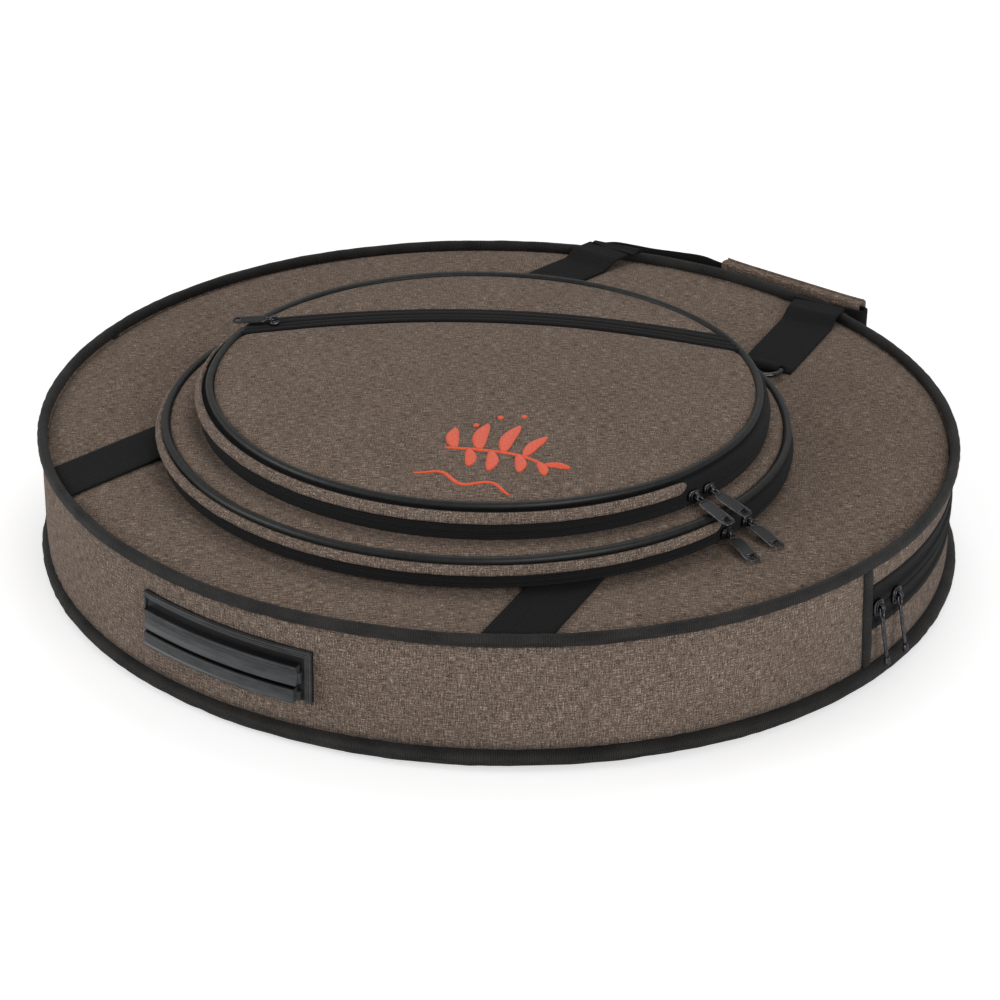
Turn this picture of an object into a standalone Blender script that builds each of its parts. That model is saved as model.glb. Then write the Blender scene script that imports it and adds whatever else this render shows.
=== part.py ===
"""Round padded cymbal bag lying on its back panel, in metres with +Z up.

The origin is the middle of the round base on the floor. +Y points at the carry handles, and the
rub plate that the bag stands on when carried is on the -Y side.
"""
import math

import bmesh
import bpy
from mathutils import Matrix, Vector

# Sizes of the whole bag
bag_radius = 0.3035
bag_height = 0.089
gap = 0.0003
roll_size = 0.009
roll_chamfer = 0.0024
base_spread = 0.0035
lower_radius = bag_radius + base_spread
gusset_inset = 0.0035
ring_sides = 72

# Layers of the panels and of the side wall
cover_thick = 0.0012
padding_thick = 0.008
panel_drop = 0.005
wall_thick = 0.004
strip_thick = 0.0025
divider_thick = 0.003

# Main zip and the bindings at its two ends
zip_end_angle = math.radians(-8.3)
end_binding_width = 0.009
end_binding_proud = 0.0022
main_zip_height = 0.052
tape_half = 0.016
tape_thick = 0.0015
chain_half = 0.005
chain_proud = 0.0014

# Webbing
strap_width = 0.038
strap_thick = 0.002
strap_handle_x = 0.0885
strap_handle_inset = 0.0185
strap_handle_y = bag_radius - strap_handle_inset
strap_kick_x = 0.170
strap_kick_inset = 0.0665
strap_kick_y = strap_kick_inset - bag_radius
climb_start_inset = 0.050
climb_end_inset = 0.035

# Pockets
pocket_x = 0.0071
pocket_y = -0.0375
two_shift_x = 0.0007
two_shift_y = 0.0077
pocket_hinge_angle = math.radians(121.0)
pocket_margin = 0.0986
pocket_step = 0.0204
one_tape_radius = bag_radius - pocket_margin
two_tape_radius = one_tape_radius - pocket_step
one_tape_low = 0.0050
one_piping_inset = 0.0035
one_piping_radius = one_tape_radius - one_piping_inset
one_piping_size = 0.0054
one_piping_rise = 0.0114
one_flap_rise = 0.0041
two_tape_low = 0.0072
two_piping_inset = 0.0065
two_piping_radius = two_tape_radius - two_piping_inset
two_piping_size = 0.005
two_piping_rise = 0.0123
two_flap_rise = 0.0044
pocket_chain = 0.0020
pocket_chain_proud = 0.001
pocket_panel_thick = 0.003
flap_thick = 0.0012
flap_overhang = 0.003
one_flap_angles = (math.radians(-178.0), math.radians(-10.0))
two_flap_angles = (math.radians(-174.0), math.radians(-15.0))
slip_offset_share = 0.51
slip_offset = two_tape_radius * slip_offset_share
slip_bow_radius = 0.568
slip_arc_steps = 12
slip_tape_half = 0.0105
slip_chain_half = 0.0025
slip_lining_drop = 0.0052
slip_lining_thick = 0.0008

# Sliders and pulls
main_slider_angles = (math.radians(-6.2), math.radians(-2.2))
one_slider_angles = (math.radians(-8.6), math.radians(-2.7))
two_slider_angles = (math.radians(-13.05), math.radians(-8.75))
slider_width = 0.010
main_slider_half = 0.0055
pocket_slider_half = 0.0034
slider_plate = 0.002
crown_width = 0.003
crown_leg = 0.0013
crown_hole = 0.0024
crown_cap = 0.0012
crown_gap_half = 0.0013
pull_thick = 0.0014
pull_width = 0.009
pull_length = 0.030
pull_eye = 0.0065
pull_slot_start_share = 0.70
pull_slot_end_share = 0.90
pull_slot_width_share = 0.46
main_pull_length = 0.038
main_pull_width = 0.0066
main_pull_rest = math.radians(12.0)
one_pull_rest = math.radians(82.0)
two_pull_rest = math.radians(76.0)
slip_pull_rest = math.radians(-3.0)
slip_slider_share = 0.91

# Rings on the front straps, just beyond the wall of pocket one
ring_strap_share = 0.22
ring_clear = 0.0055
ring_depth = 0.015
ring_lane_x = strap_handle_x + ring_strap_share * (strap_kick_x - strap_handle_x)
pocket_reach = math.sqrt((one_tape_radius + flap_overhang) ** 2 - (ring_lane_x - pocket_x) ** 2)
ring_y = pocket_y + pocket_reach + ring_depth + ring_clear
ring_bar_shares = (-1.0, -0.35, 0.35, 1.0)
ring_wire = 0.0035
ring_half_width = 0.0155
tab_width = 0.025
tab_thick = 0.0012
tab_length = 0.012

# Fold of the panel beyond the pockets and the rings, where the mouth opens
ring_inset = 0.0263
fold_y = ring_y + ring_inset

# Carry handles and wrap
handle_axis_inset = 0.0145
handle_axis_y = bag_radius - handle_axis_inset
handle_drop = 0.0225
handle_level = bag_height - handle_drop
wrap_left_x = -0.010
wrap_left_out = 0.017
handle_left = (wrap_left_x, bag_radius + wrap_left_out)
wrap_right_x = 0.1116
wrap_right_out = 0.0056
handle_right = (wrap_right_x, bag_radius + wrap_right_out)
return_inset = 0.003
handle_return_y = bag_radius - return_inset
return_drop = 0.003
turn_out = 0.0015
turn_fall = 0.008
handle_turn_x = wrap_right_x + turn_out
handle_seat_share = 0.98
# Webbing from the rim to the wrap: shares of the way along, out and down, and its tilt
loop_shares = (
    ((0.010, 0.38, 0.02), (0.99, -0.03, -0.05)),
    ((0.070, 0.42, 0.58), (0.90, -0.12, -0.42)),
    ((0.250, 0.60, 0.87), (0.60, -0.20, -0.77)),
    ((0.503, 0.86, 0.97), (0.18, -0.10, -0.97)),
    ((0.764, 1.00, 0.95), (0.03, 0.0, -1.0)),
)
wrap_thick = 0.003
wrap_fall = 0.0455
wrap_lower = bag_height - wrap_fall
back_handle_clear = 0.0055
back_handle_half = 0.0885
back_handle_corner = 0.024

# Rub plate
plate_half = 0.062
plate_base = 0.032
plate_shift = 0.003
plate_tall = 0.034
plate_thick = 0.002
border_layer = 0.001
plate_border_shares = (0.86, 0.93)
plate_edge_shares = (-0.97, 0.88, 0.93)
runner_end_share = 0.80
runner_floor_share = 0.06
lower_runner_share = 0.27
upper_runner_shares = (0.36, 0.72)
runner_proud = 0.006
runner_lip = 0.002
runner_steps = 12

HEATHER = ("heather_fabric", (0.170, 0.132, 0.106), 0.9)
TRIM = ("black_trim", (0.016, 0.016, 0.017), 0.7)
TAPE = ("zip_tape", (0.013, 0.013, 0.014), 0.75)
WEBBING = ("black_webbing", (0.009, 0.009, 0.010), 0.85)
LINING = ("dark_lining", (0.030, 0.030, 0.033), 0.9)
PLASTIC = ("rub_plastic", (0.035, 0.036, 0.038), 0.45)
METAL = ("dark_metal", (0.045, 0.045, 0.048), 0.35)

collection = None


def start_scene():
    global collection
    for obj in list(bpy.data.objects):
        bpy.data.objects.remove(obj, do_unlink=True)
    collection = bpy.data.collections.new("cymbal_bag")
    bpy.context.scene.collection.children.link(collection)


def material(look):
    name, colour, roughness = look
    known = bpy.data.materials.get(name)
    if known:
        return known
    made = bpy.data.materials.new(name)
    made.use_nodes = True
    shader = made.node_tree.nodes["Principled BSDF"]
    shader.inputs["Base Color"].default_value = (*colour, 1.0)
    shader.inputs["Roughness"].default_value = roughness
    made.diffuse_color = (*colour, 1.0)
    return made


def add(name, bm, look, origin=(0.0, 0.0, 0.0), inside=None):
    """One named object from a mesh in world coordinates, with its origin at the given point."""
    bmesh.ops.remove_doubles(bm, verts=bm.verts, dist=gap / 100)
    bmesh.ops.recalc_face_normals(bm, faces=bm.faces)
    bm.transform(Matrix.Translation(-Vector(origin)))
    mesh = bpy.data.meshes.new(name)
    bm.to_mesh(mesh)
    bm.free()
    obj = bpy.data.objects.new(name, mesh)
    obj.location = origin
    mesh.materials.append(material(look))
    (inside or collection).objects.link(obj)
    return obj


# Flat outlines

def circle(radius, centre=(0.0, 0.0)):
    return [
        (
            centre[0] + radius * math.cos(2 * math.pi * n / ring_sides),
            centre[1] + radius * math.sin(2 * math.pi * n / ring_sides),
        )
        for n in range(ring_sides)
    ]


def clip(outline, point, away):
    """The part of a convex outline that lies behind the line through point, away from `away`."""
    def past(p):
        return (p[0] - point[0]) * away[0] + (p[1] - point[1]) * away[1]

    kept = []
    for p, q in zip(outline, outline[1:] + outline[:1]):
        a, b = past(p), past(q)
        if a <= 0:
            kept.append(p)
        if a * b < 0:
            share = a / (a - b)
            kept.append((p[0] + share * (q[0] - p[0]), p[1] + share * (q[1] - p[1])))
    return kept


def prism(outline, low, high):
    bm = bmesh.new()
    bottom = [bm.verts.new((x, y, low)) for x, y in outline]
    top = [bm.verts.new((x, y, high)) for x, y in outline]
    bm.faces.new(bottom[::-1])
    bm.faces.new(top)
    for n in range(len(outline)):
        m = (n + 1) % len(outline)
        bm.faces.new((bottom[n], bottom[m], top[m], top[n]))
    return bm


# Turned and swept solids

def revolve(section, start=None, end=None, centre=(0.0, 0.0)):
    """A closed section of (radius, height) points turned about a vertical line, all round or
    between two angles. Every turned piece has its corners at the same angles."""
    step = 2 * math.pi / ring_sides
    if start is None:
        angles = [n * step for n in range(ring_sides)]
    else:
        inner = [
            n * step
            for n in range(math.floor(start / step), math.ceil(end / step) + 1)
            if start + step / 100 < n * step < end - step / 100
        ]
        angles = [start, *inner, end]
    bm = bmesh.new()
    rows = [
        [
            bm.verts.new((centre[0] + r * math.cos(a), centre[1] + r * math.sin(a), z))
            for r, z in section
        ]
        for a in angles
    ]
    pairs = list(zip(rows, rows[1:]))
    if start is None:
        pairs.append((rows[-1], rows[0]))
    else:
        bm.faces.new(rows[0])
        bm.faces.new(rows[-1][::-1])
    count = len(section)
    for row, following in pairs:
        for n in range(count):
            m = (n + 1) % count
            bm.faces.new((row[n], following[n], following[m], row[m]))
    return bm


def cut(bm, y, keep_above):
    """Cuts a solid on the plane of one y and closes it, keeping one side."""
    bmesh.ops.bisect_plane(
        bm,
        geom=[*bm.verts, *bm.edges, *bm.faces],
        dist=gap / 1000,
        plane_co=(0.0, y, 0.0),
        plane_no=(0.0, -1.0 if keep_above else 1.0, 0.0),
        clear_outer=True,
    )
    bmesh.ops.holes_fill(bm, edges=[e for e in bm.edges if e.is_boundary], sides=0)
    return bm


def loft(rows, closed=False):
    bm = bmesh.new()
    made = [[bm.verts.new(p) for p in row] for row in rows]
    pairs = list(zip(made, made[1:]))
    if closed:
        pairs.append((made[-1], made[0]))
    else:
        bm.faces.new(made[0])
        bm.faces.new(made[-1][::-1])
    count = len(made[0])
    for row, following in pairs:
        for n in range(count):
            m = (n + 1) % count
            bm.faces.new((row[n], following[n], following[m], row[m]))
    return bm


def ribbon(stations, width, thick):
    """Webbing through stations of (middle, direction across)."""
    middles = [Vector(c) for c, _ in stations]
    rows = []
    for n, (_, across) in enumerate(stations):
        along = (middles[min(n + 1, len(middles) - 1)] - middles[max(n - 1, 0)]).normalized()
        if n in (0, len(middles) - 1):
            near = middles[1] - middles[0] if n == 0 else middles[-1] - middles[-2]
            along = near.normalized()
        side = Vector(across).normalized()
        normal = side.cross(along).normalized()
        half, up = side * width / 2, normal * thick / 2
        c = middles[n]
        rows.append([c - half - up, c + half - up, c + half + up, c - half + up])
    return loft(rows)


def blocks(us, vs, ws, solid, place):
    """One closed body from the filled cells of a grid, with each corner put where place says."""
    bm = bmesh.new()
    known = {}

    def corner(i, j, k):
        if (i, j, k) not in known:
            known[i, j, k] = bm.verts.new(place(us[i], vs[j], ws[k]))
        return known[i, j, k]

    count = len(us) - 1, len(vs) - 1, len(ws) - 1

    def filled(i, j, k):
        inside = 0 <= i < count[0] and 0 <= j < count[1] and 0 <= k < count[2]
        return inside and solid(
            (us[i] + us[i + 1]) / 2, (vs[j] + vs[j + 1]) / 2, (ws[k] + ws[k + 1]) / 2
        )

    for i in range(count[0]):
        for j in range(count[1]):
            for k in range(count[2]):
                if not filled(i, j, k):
                    continue
                for axis in range(3):
                    for side in (0, 1):
                        other = [i, j, k]
                        other[axis] += 1 if side else -1
                        if filled(*other):
                            continue
                        first, second = [a for a in range(3) if a != axis]
                        face = []
                        for p, q in ((0, 0), (1, 0), (1, 1), (0, 1)):
                            at = [i, j, k]
                            at[axis] += side
                            at[first] += p
                            at[second] += q
                            face.append(corner(*at))
                        bm.faces.new(face)
    return bm


# Panels, side wall and main zip

centre_one = (pocket_x, pocket_y)
centre_two = (pocket_x + two_shift_x, pocket_y + two_shift_y)
gusset_radius = bag_radius - gusset_inset
panel_radius = bag_radius - roll_size - gap
lower_roll_base = strap_thick + gap
lower_roll_top = lower_roll_base + roll_size
upper_roll_base = bag_height - roll_size
front_top = bag_height - panel_drop
padding_top = cover_thick + gap + padding_thick
front_padding_low = front_top - cover_thick - gap - padding_thick
fold_low = fold_y - gap / 2
fold_high = fold_y + gap / 2
FOLD = (0.0, fold_y, bag_height)


def panels():
    full = circle(panel_radius)
    near = clip(full, (0.0, fold_low), (0.0, 1.0))
    far = clip(full, (0.0, fold_high), (0.0, -1.0))
    add("back_cover", prism(full, 0.0, cover_thick), HEATHER)
    add("back_padding", prism(full, cover_thick + gap, padding_top), LINING)
    cover_low = front_top - cover_thick
    add("front_cover", prism(near, cover_low, front_top), HEATHER)
    add("front_padding", prism(near, front_padding_low, cover_low - gap), LINING)
    add("flap_cover", prism(far, cover_low, front_top), HEATHER, FOLD)
    add("flap_padding", prism(far, front_padding_low, cover_low - gap), LINING, FOLD)

    inner, c = bag_radius - roll_size, roll_chamfer

    def roll(base, outer):
        top = base + roll_size
        return [
            (inner + c, base), (outer - c, base), (outer, base + c), (outer, top - c),
            (outer - c, top), (inner + c, top), (inner, top - c), (inner, base + c),
        ]

    add("lower_binding", revolve(roll(lower_roll_base, lower_radius)), TRIM)
    upper = roll(upper_roll_base, bag_radius)
    add("upper_binding", cut(revolve(upper), fold_low, False), TRIM)
    add("flap_binding", cut(revolve(upper), fold_high, True), TRIM, FOLD)


def box_section(inner, outer, low, high):
    return [(inner, low), (outer, low), (outer, high), (inner, high)]


def side_wall():
    low, high = lower_roll_top + gap, upper_roll_base - gap
    half_binding = end_binding_width / 2 / gusset_radius
    spare = gap / gusset_radius
    right, left = zip_end_angle, math.pi - zip_end_angle
    wall = box_section(gusset_radius - wall_thick, gusset_radius, low, high)
    add(
        "gusset_cover",
        revolve(wall, left - 2 * math.pi + half_binding + spare, right - half_binding - spare),
        HEATHER,
    )
    proud = box_section(
        gusset_radius - wall_thick, gusset_radius + end_binding_proud, low, high
    )
    add("gusset_binding_right", revolve(proud, right - half_binding, right + half_binding), TRIM)
    add("gusset_binding_left", revolve(proud, left - half_binding, left + half_binding), TRIM)

    start, end = right + half_binding + spare, left - half_binding - spare
    strip_inner = gusset_radius - strip_thick
    lower = box_section(strip_inner, gusset_radius, low, main_zip_height - tape_half - gap)
    add("gusset_lower_strip", revolve(lower, start, end), HEATHER)
    tape_outer = gusset_radius - gap
    tape_inner = tape_outer - tape_thick
    chain = tape_outer + chain_proud
    z = main_zip_height

    def tape(way):
        edge, root, mid = z + way * tape_half, z + way * chain_half, z + way * gap / 2
        return [
            (tape_inner, edge), (tape_outer, edge), (tape_outer, root),
            (chain, root), (chain, mid), (tape_inner, mid),
        ]

    add("main_zip_tape_lower", revolve(tape(-1), start, end), TAPE)
    upper = box_section(strip_inner, gusset_radius, main_zip_height + tape_half + gap, high)
    middle = math.pi / 2
    for name, section, look in (
        ("gusset_upper", upper, HEATHER), ("main_zip_tape", tape(1), TAPE)
    ):
        add(f"{name}_right", cut(revolve(section, start, middle), fold_low, False), look)
        add(f"{name}_left", cut(revolve(section, middle, end), fold_low, False), look)
        add(f"{name}_flap", cut(revolve(section, start, end), fold_high, True), look, FOLD)


def divider():
    inner = gusset_radius - wall_thick - gap
    low = (padding_top + front_padding_low - divider_thick) / 2
    hinge = (0.0, -inner, low + divider_thick / 2)
    add("divider", prism(circle(inner), low, low + divider_thick), LINING, hinge)


def rub_plate():
    low, high = upper_runner_shares
    floor = runner_floor_share
    step, rim = plate_border_shares
    left, right, outer = plate_edge_shares
    shares = [0.0, floor, lower_runner_share, low, low + floor, high, step, rim, 1.0]
    vs = [plate_base + share * plate_tall for share in shares]
    top = plate_thick + runner_proud
    ws = [
        0.0, plate_thick, plate_thick + border_layer, plate_thick + 2 * border_layer,
        top - runner_lip, top,
    ]
    run = runner_end_share - left
    along = [left + run * n / runner_steps for n in range(runner_steps + 1)]
    us = [plate_half * share for share in (-1.0, *along, right, outer, 1.0)]

    def solid(u, v, w):
        share, height = u / plate_half, (v - plate_base) / plate_tall
        if w < plate_thick:
            return True
        if w < ws[2] and (height > step or share > right or share < left):
            return True
        if ws[2] < w < ws[3] and (height > rim or share > outer):
            return True
        if not left < share < runner_end_share:
            return False
        base = height < floor or low < height < low + floor
        face = w > ws[4] and (height < lower_runner_share or low < height < high)
        return base or face

    def place(u, v, w):
        angle = -math.pi / 2 + (u + plate_shift) / gusset_radius
        r = gusset_radius + gap + w
        return r * math.cos(angle), r * math.sin(angle), v

    add("rub_plate", blocks(us, vs, ws, solid, place), PLASTIC)


# Webbing on the front panel

def strap_x(y, side):
    share = (strap_handle_y - y) / (strap_handle_y - strap_kick_y)
    return side * (strap_handle_x + share * (strap_kick_x - strap_handle_x))


def strap_level():
    return front_top + gap


def straps():
    low = strap_level()
    slant = math.atan2(strap_kick_x - strap_handle_x, strap_handle_y - strap_kick_y)
    across = strap_width / math.cos(slant)
    for side, word in ((-1, "left"), (1, "right")):
        outline = clip(circle(panel_radius), (0.0, fold_low), (0.0, 1.0))
        middle = (strap_x(0.0, side), 0.0)
        out = (math.cos(slant), side * math.sin(slant))
        for way in (-1, 1):
            point = (middle[0] + way * out[0] * strap_width / 2,
                     middle[1] + way * out[1] * strap_width / 2)
            outline = clip(outline, point, (way * out[0], way * out[1]))
        strap = add(f"strap_{word}", prism(outline, low, low + strap_thick), WEBBING)
        join_tab(strap, side)
        high = bag_height + gap + strap_thick / 2
        flat = low + strap_thick / 2
        levels = [
            (fold_high, flat), (bag_radius - climb_start_inset, flat),
            (bag_radius - climb_end_inset, high),
            (handle_axis_y - gap, high),
        ]
        stations = [((strap_x(y, side), y, z), (1.0, 0.0, 0.0)) for y, z in levels]
        rows = []
        for (x, y, z), _ in stations:
            a, b = x - across / 2, x + across / 2
            t = strap_thick / 2
            rows.append([(a, y, z - t), (b, y, z - t), (b, y, z + t), (a, y, z + t)])
        add(f"strap_end_{word}", loft(rows), WEBBING, FOLD)


def ring_level():
    return strap_level() + strap_thick + tab_thick + gap + ring_wire / 2


def join_tab(strap, side):
    """The tab that holds the ring: webbing folded round the ring's bar and sewn to the strap."""
    x = strap_x(ring_y, side)
    z = ring_level()
    bend = ring_wire / 2 + gap + tab_thick / 2
    turn = [math.pi * (0.5 + n / 6) for n in range(7)]
    stations = [((x, ring_y + tab_length, z + tab_thick / 2 + gap), (1.0, 0.0, 0.0))]
    stations += [
        ((x, ring_y + bend * math.cos(a), z + bend * math.sin(a)), (1.0, 0.0, 0.0)) for a in turn
    ]
    stations.append(((x, ring_y + tab_length, z - bend), (1.0, 0.0, 0.0)))
    pad = strap_level() + strap_thick * 0.5
    tail = prism(
        [(x - tab_width / 2, ring_y), (x + tab_width / 2, ring_y),
         (x + tab_width / 2, ring_y + tab_length), (x - tab_width / 2, ring_y + tab_length)],
        pad, z - bend,
    )
    for number, bm in enumerate((ribbon(stations, tab_width, tab_thick), tail)):
        helper = add(f"{strap.name}_tab_{number}", bm, WEBBING, inside=helpers)
        helper.hide_render = True
        helper.display_type = "WIRE"
        joined = strap.modifiers.new(f"tab_{number}", "BOOLEAN")
        joined.operation = "UNION"
        joined.solver = "EXACT"
        joined.object = helper


def rings():
    z = ring_level()
    for side, word in ((-1, "left"), (1, "right")):
        x = strap_x(ring_y, side)
        path = [(ring_half_width * share, 0.0) for share in ring_bar_shares]
        path += [
            (ring_half_width * math.cos(a), -ring_depth * math.sin(a) ** 0.8)
            for a in (math.pi * n / 10 for n in range(1, 10))
        ]
        rows = []
        count = len(path)
        for n, (u, v) in enumerate(path):
            before, after = path[n - 1], path[(n + 1) % count]
            along = Vector((after[0] - before[0], after[1] - before[1], 0.0)).normalized()
            out = Vector((along.y, -along.x, 0.0))
            c = Vector((x + u, ring_y + v, z))
            rows.append([
                c + (out * math.cos(b) + Vector((0, 0, 1)) * math.sin(b)) * ring_wire / 2
                for b in (math.pi * k / 3 for k in range(6))
            ])
        add(f"ring_{word}", loft(rows, closed=True), METAL, (x, ring_y, z))


# Carry handles

def handle():
    x1 = strap_handle_x * handle_seat_share
    x0 = -x1
    y0 = handle_axis_y + gap
    top = bag_height + gap + strap_thick / 2
    level = handle_level
    a, b = Vector((*handle_left, level)), Vector((*handle_right, level))
    down = (0.0, 0.0, -1.0)
    stations = [
        ((x0, y0, top), (1.0, 0.0, 0.0)),
        ((x0, y0 + strap_thick, top), (1.0, 0.0, 0.0)),
    ]
    for (along, out, fall), tilt in loop_shares:
        stations.append((
            (x0 + along * (a.x - x0), y0 + out * (a.y - y0), top + fall * (level - top)), tilt
        ))
    stations += [(a, down), (b, down)]
    turn_radius = (handle_right[1] - handle_return_y) / 2
    middle_y = handle_return_y + turn_radius
    for n in range(5):
        angle = math.pi / 2 - math.pi * n / 4
        stations.append((
            (handle_turn_x + turn_radius * math.cos(angle),
             middle_y + turn_radius * math.sin(angle),
             level - turn_fall * math.cos(angle)),
            down,
        ))
    rise = top - return_drop - level
    for n in range(6):
        angle = math.pi / 2 * n / 5
        stations.append((
            (x1 + rise * (1 - math.sin(angle)), handle_return_y,
             level + rise * (1 - math.cos(angle))),
            (-math.sin(angle), 0.0, -math.cos(angle)),
        ))
    flat = strap_thick / 2
    back = handle_return_y - y0 - flat
    for n in (1, 2, 3):
        angle = math.pi / 2 * n / 3
        fall = return_drop * (1 - math.sin(angle))
        stations.append((
            (x1, y0 + flat + back * math.cos(angle), top - fall),
            (-1.0, 0.0, 0.0),
        ))
    stations.append(((x1, y0, top), (-1.0, 0.0, 0.0)))
    origin = (0.0, handle_axis_y, top + strap_thick / 2)
    add("handle_front", ribbon(stations, strap_width, strap_thick), WEBBING, origin)
    along = (b - a).normalized()
    out = Vector((-along.y, along.x, 0.0))
    if out.y < 0:
        out = -out
    inner = strap_thick / 2 + gap
    outer = inner + wrap_thick
    crest = level + strap_width / 2 + gap
    ridge = crest + wrap_thick
    soft = wrap_thick / 3

    def sleeve(section):
        return loft([
            [end + out * v + Vector((0, 0, z - level)) for v, z in section]
            for end in (a + along * wrap_thick, b)
        ])

    body = [
        (-outer, wrap_lower), (-inner, wrap_lower), (-inner, crest), (inner, crest),
        (inner, ridge), (-outer + soft, ridge), (-outer, ridge - soft),
    ]
    add("handle_wrap", sleeve(body), HEATHER, origin)
    shut = inner + gap
    leaf = [
        (shut, wrap_lower), (shut + wrap_thick, wrap_lower),
        (shut + wrap_thick, ridge - soft), (shut + wrap_thick - soft, ridge), (shut, ridge),
    ]
    hinge = a + out * (inner + gap / 2)
    add("handle_wrap_flap", sleeve(leaf), HEATHER, (hinge.x, hinge.y, ridge))

    w = strap_width / 2
    near, wide = back_handle_half - w, back_handle_half + w
    start = math.sqrt((lower_radius - roll_chamfer + gap) ** 2 - near ** 2)
    grip = lower_radius + back_handle_clear
    far, turn = grip + strap_width, back_handle_corner
    corner = [
        (wide - turn * (1 - math.cos(t)), far - turn * (1 - math.sin(t)))
        for t in (math.pi * n / 8 for n in range(5))
    ]
    outline = [(-near, start), (-near, grip), (near, grip), (near, start), (wide, start), *corner]
    outline += [(-x, y) for x, y in reversed(corner)] + [(-wide, start)]
    add(
        "handle_back", prism(outline, 0.0, strap_thick), WEBBING, (0.0, start, strap_thick)
    )


# Pockets on the front panel

def pocket_rings(word, middle, base, tape_radius, low, flap_rise, flap_angles,
                 piping_radius, piping_size, piping_rise, lower_origin, origin):
    """Lower tape, upper tape, storm flap and piping of one pocket. Its height runs from base."""
    split = base + low
    inner = tape_radius - tape_thick
    chain = tape_radius + pocket_chain_proud
    c = pocket_chain
    piping_z = split + piping_rise
    lower = [
        (inner, base), (tape_radius, base), (tape_radius, split - c), (chain, split - c),
        (chain, split - gap / 2), (inner, split - gap / 2),
    ]
    add(f"{word}_tape_lower", revolve(lower, centre=middle), TAPE, lower_origin)
    top = piping_z - piping_size / 2 - gap
    step = tape_radius - tape_thick / 4
    lip = piping_radius - piping_size / 4
    upper = [
        (inner, split + gap / 2), (chain, split + gap / 2), (chain, split + c), (step, split + c),
        (step, top), (lip, top), (lip, top - tape_thick), (inner, top - tape_thick),
    ]
    add(f"{word}_tape_upper", revolve(upper, centre=middle), TAPE, origin)
    skirt_low = split + flap_rise
    far = tape_radius + flap_overhang
    near = step + gap
    skirt = [
        (far - flap_thick, skirt_low), (far, skirt_low), (near + flap_thick, top), (near, top),
    ]
    add(f"{word}_storm_flap", revolve(skirt, *flap_angles, centre=middle), HEATHER, origin)
    piping = [
        (piping_radius + piping_size / 2 * math.cos(a), piping_z + piping_size / 2 * math.sin(a))
        for a in (math.pi * n / 3 for n in range(6))
    ]
    add(f"{word}_piping", revolve(piping, centre=middle), TRIM, origin)


def hinge_point(middle, radius, z):
    return (
        middle[0] + radius * math.cos(pocket_hinge_angle),
        middle[1] + radius * math.sin(pocket_hinge_angle),
        z,
    )


one_base = front_top + gap + strap_thick + gap
one_split = one_base + one_tape_low
one_piping_z = one_split + one_piping_rise
one_top_low = one_piping_z - pocket_panel_thick / 2
two_base = one_top_low + pocket_panel_thick + gap
two_split = two_base + two_tape_low
two_piping_z = two_split + two_piping_rise
two_top_low = two_piping_z - pocket_panel_thick / 2
ONE_HINGE = hinge_point(centre_one, one_tape_radius + pocket_chain_proud, one_split)
TWO_HINGE = hinge_point(centre_two, two_tape_radius + pocket_chain_proud, two_split)
slip_along = (math.sin(pocket_hinge_angle), -math.cos(pocket_hinge_angle))
slip_out = (math.cos(pocket_hinge_angle), math.sin(pocket_hinge_angle))
bow_back = slip_bow_radius - slip_offset
SLIP_CENTRE = (centre_two[0] - slip_out[0] * bow_back, centre_two[1] - slip_out[1] * bow_back)
two_radius = two_piping_radius - two_piping_size / 2 - gap
two_within = two_radius * math.cos(math.pi / ring_sides)


def bow_way(angle):
    return tuple(
        o * math.cos(angle) + a * math.sin(angle) for o, a in zip(slip_out, slip_along)
    )


def bow_end(radius, within):
    """Angle from its middle at which the slip zip's curve leaves a round top."""
    return math.acos((radius ** 2 + bow_back ** 2 - within ** 2) / (2 * radius * bow_back))


def bow_arc(radius, within):
    """Points along the slip zip's curve at one radius, as far as they stay in a round top."""
    end = bow_end(radius, within)
    ways = [bow_way(end * n / slip_arc_steps) for n in range(-slip_arc_steps, slip_arc_steps + 1)]
    return [(SLIP_CENTRE[0] + radius * x, SLIP_CENTRE[1] + radius * y) for x, y in ways]


def beside_bow(outline, radius, within, inner):
    """The part of a round outline on one side of the slip zip's curve."""
    def beyond(p):
        return math.hypot(p[0] - SLIP_CENTRE[0], p[1] - SLIP_CENTRE[1]) > radius

    count = len(outline)
    kept = [beyond(p) != inner for p in outline]
    first = next(n for n in range(count) if kept[n] and not kept[n - 1])
    run = [outline[(first + n) % count] for n in range(count) if kept[(first + n) % count]]
    arc = bow_arc(radius, within)
    near = min((arc, arc[::-1]), key=lambda a: math.dist(a[0], run[-1]))
    return run + near


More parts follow.
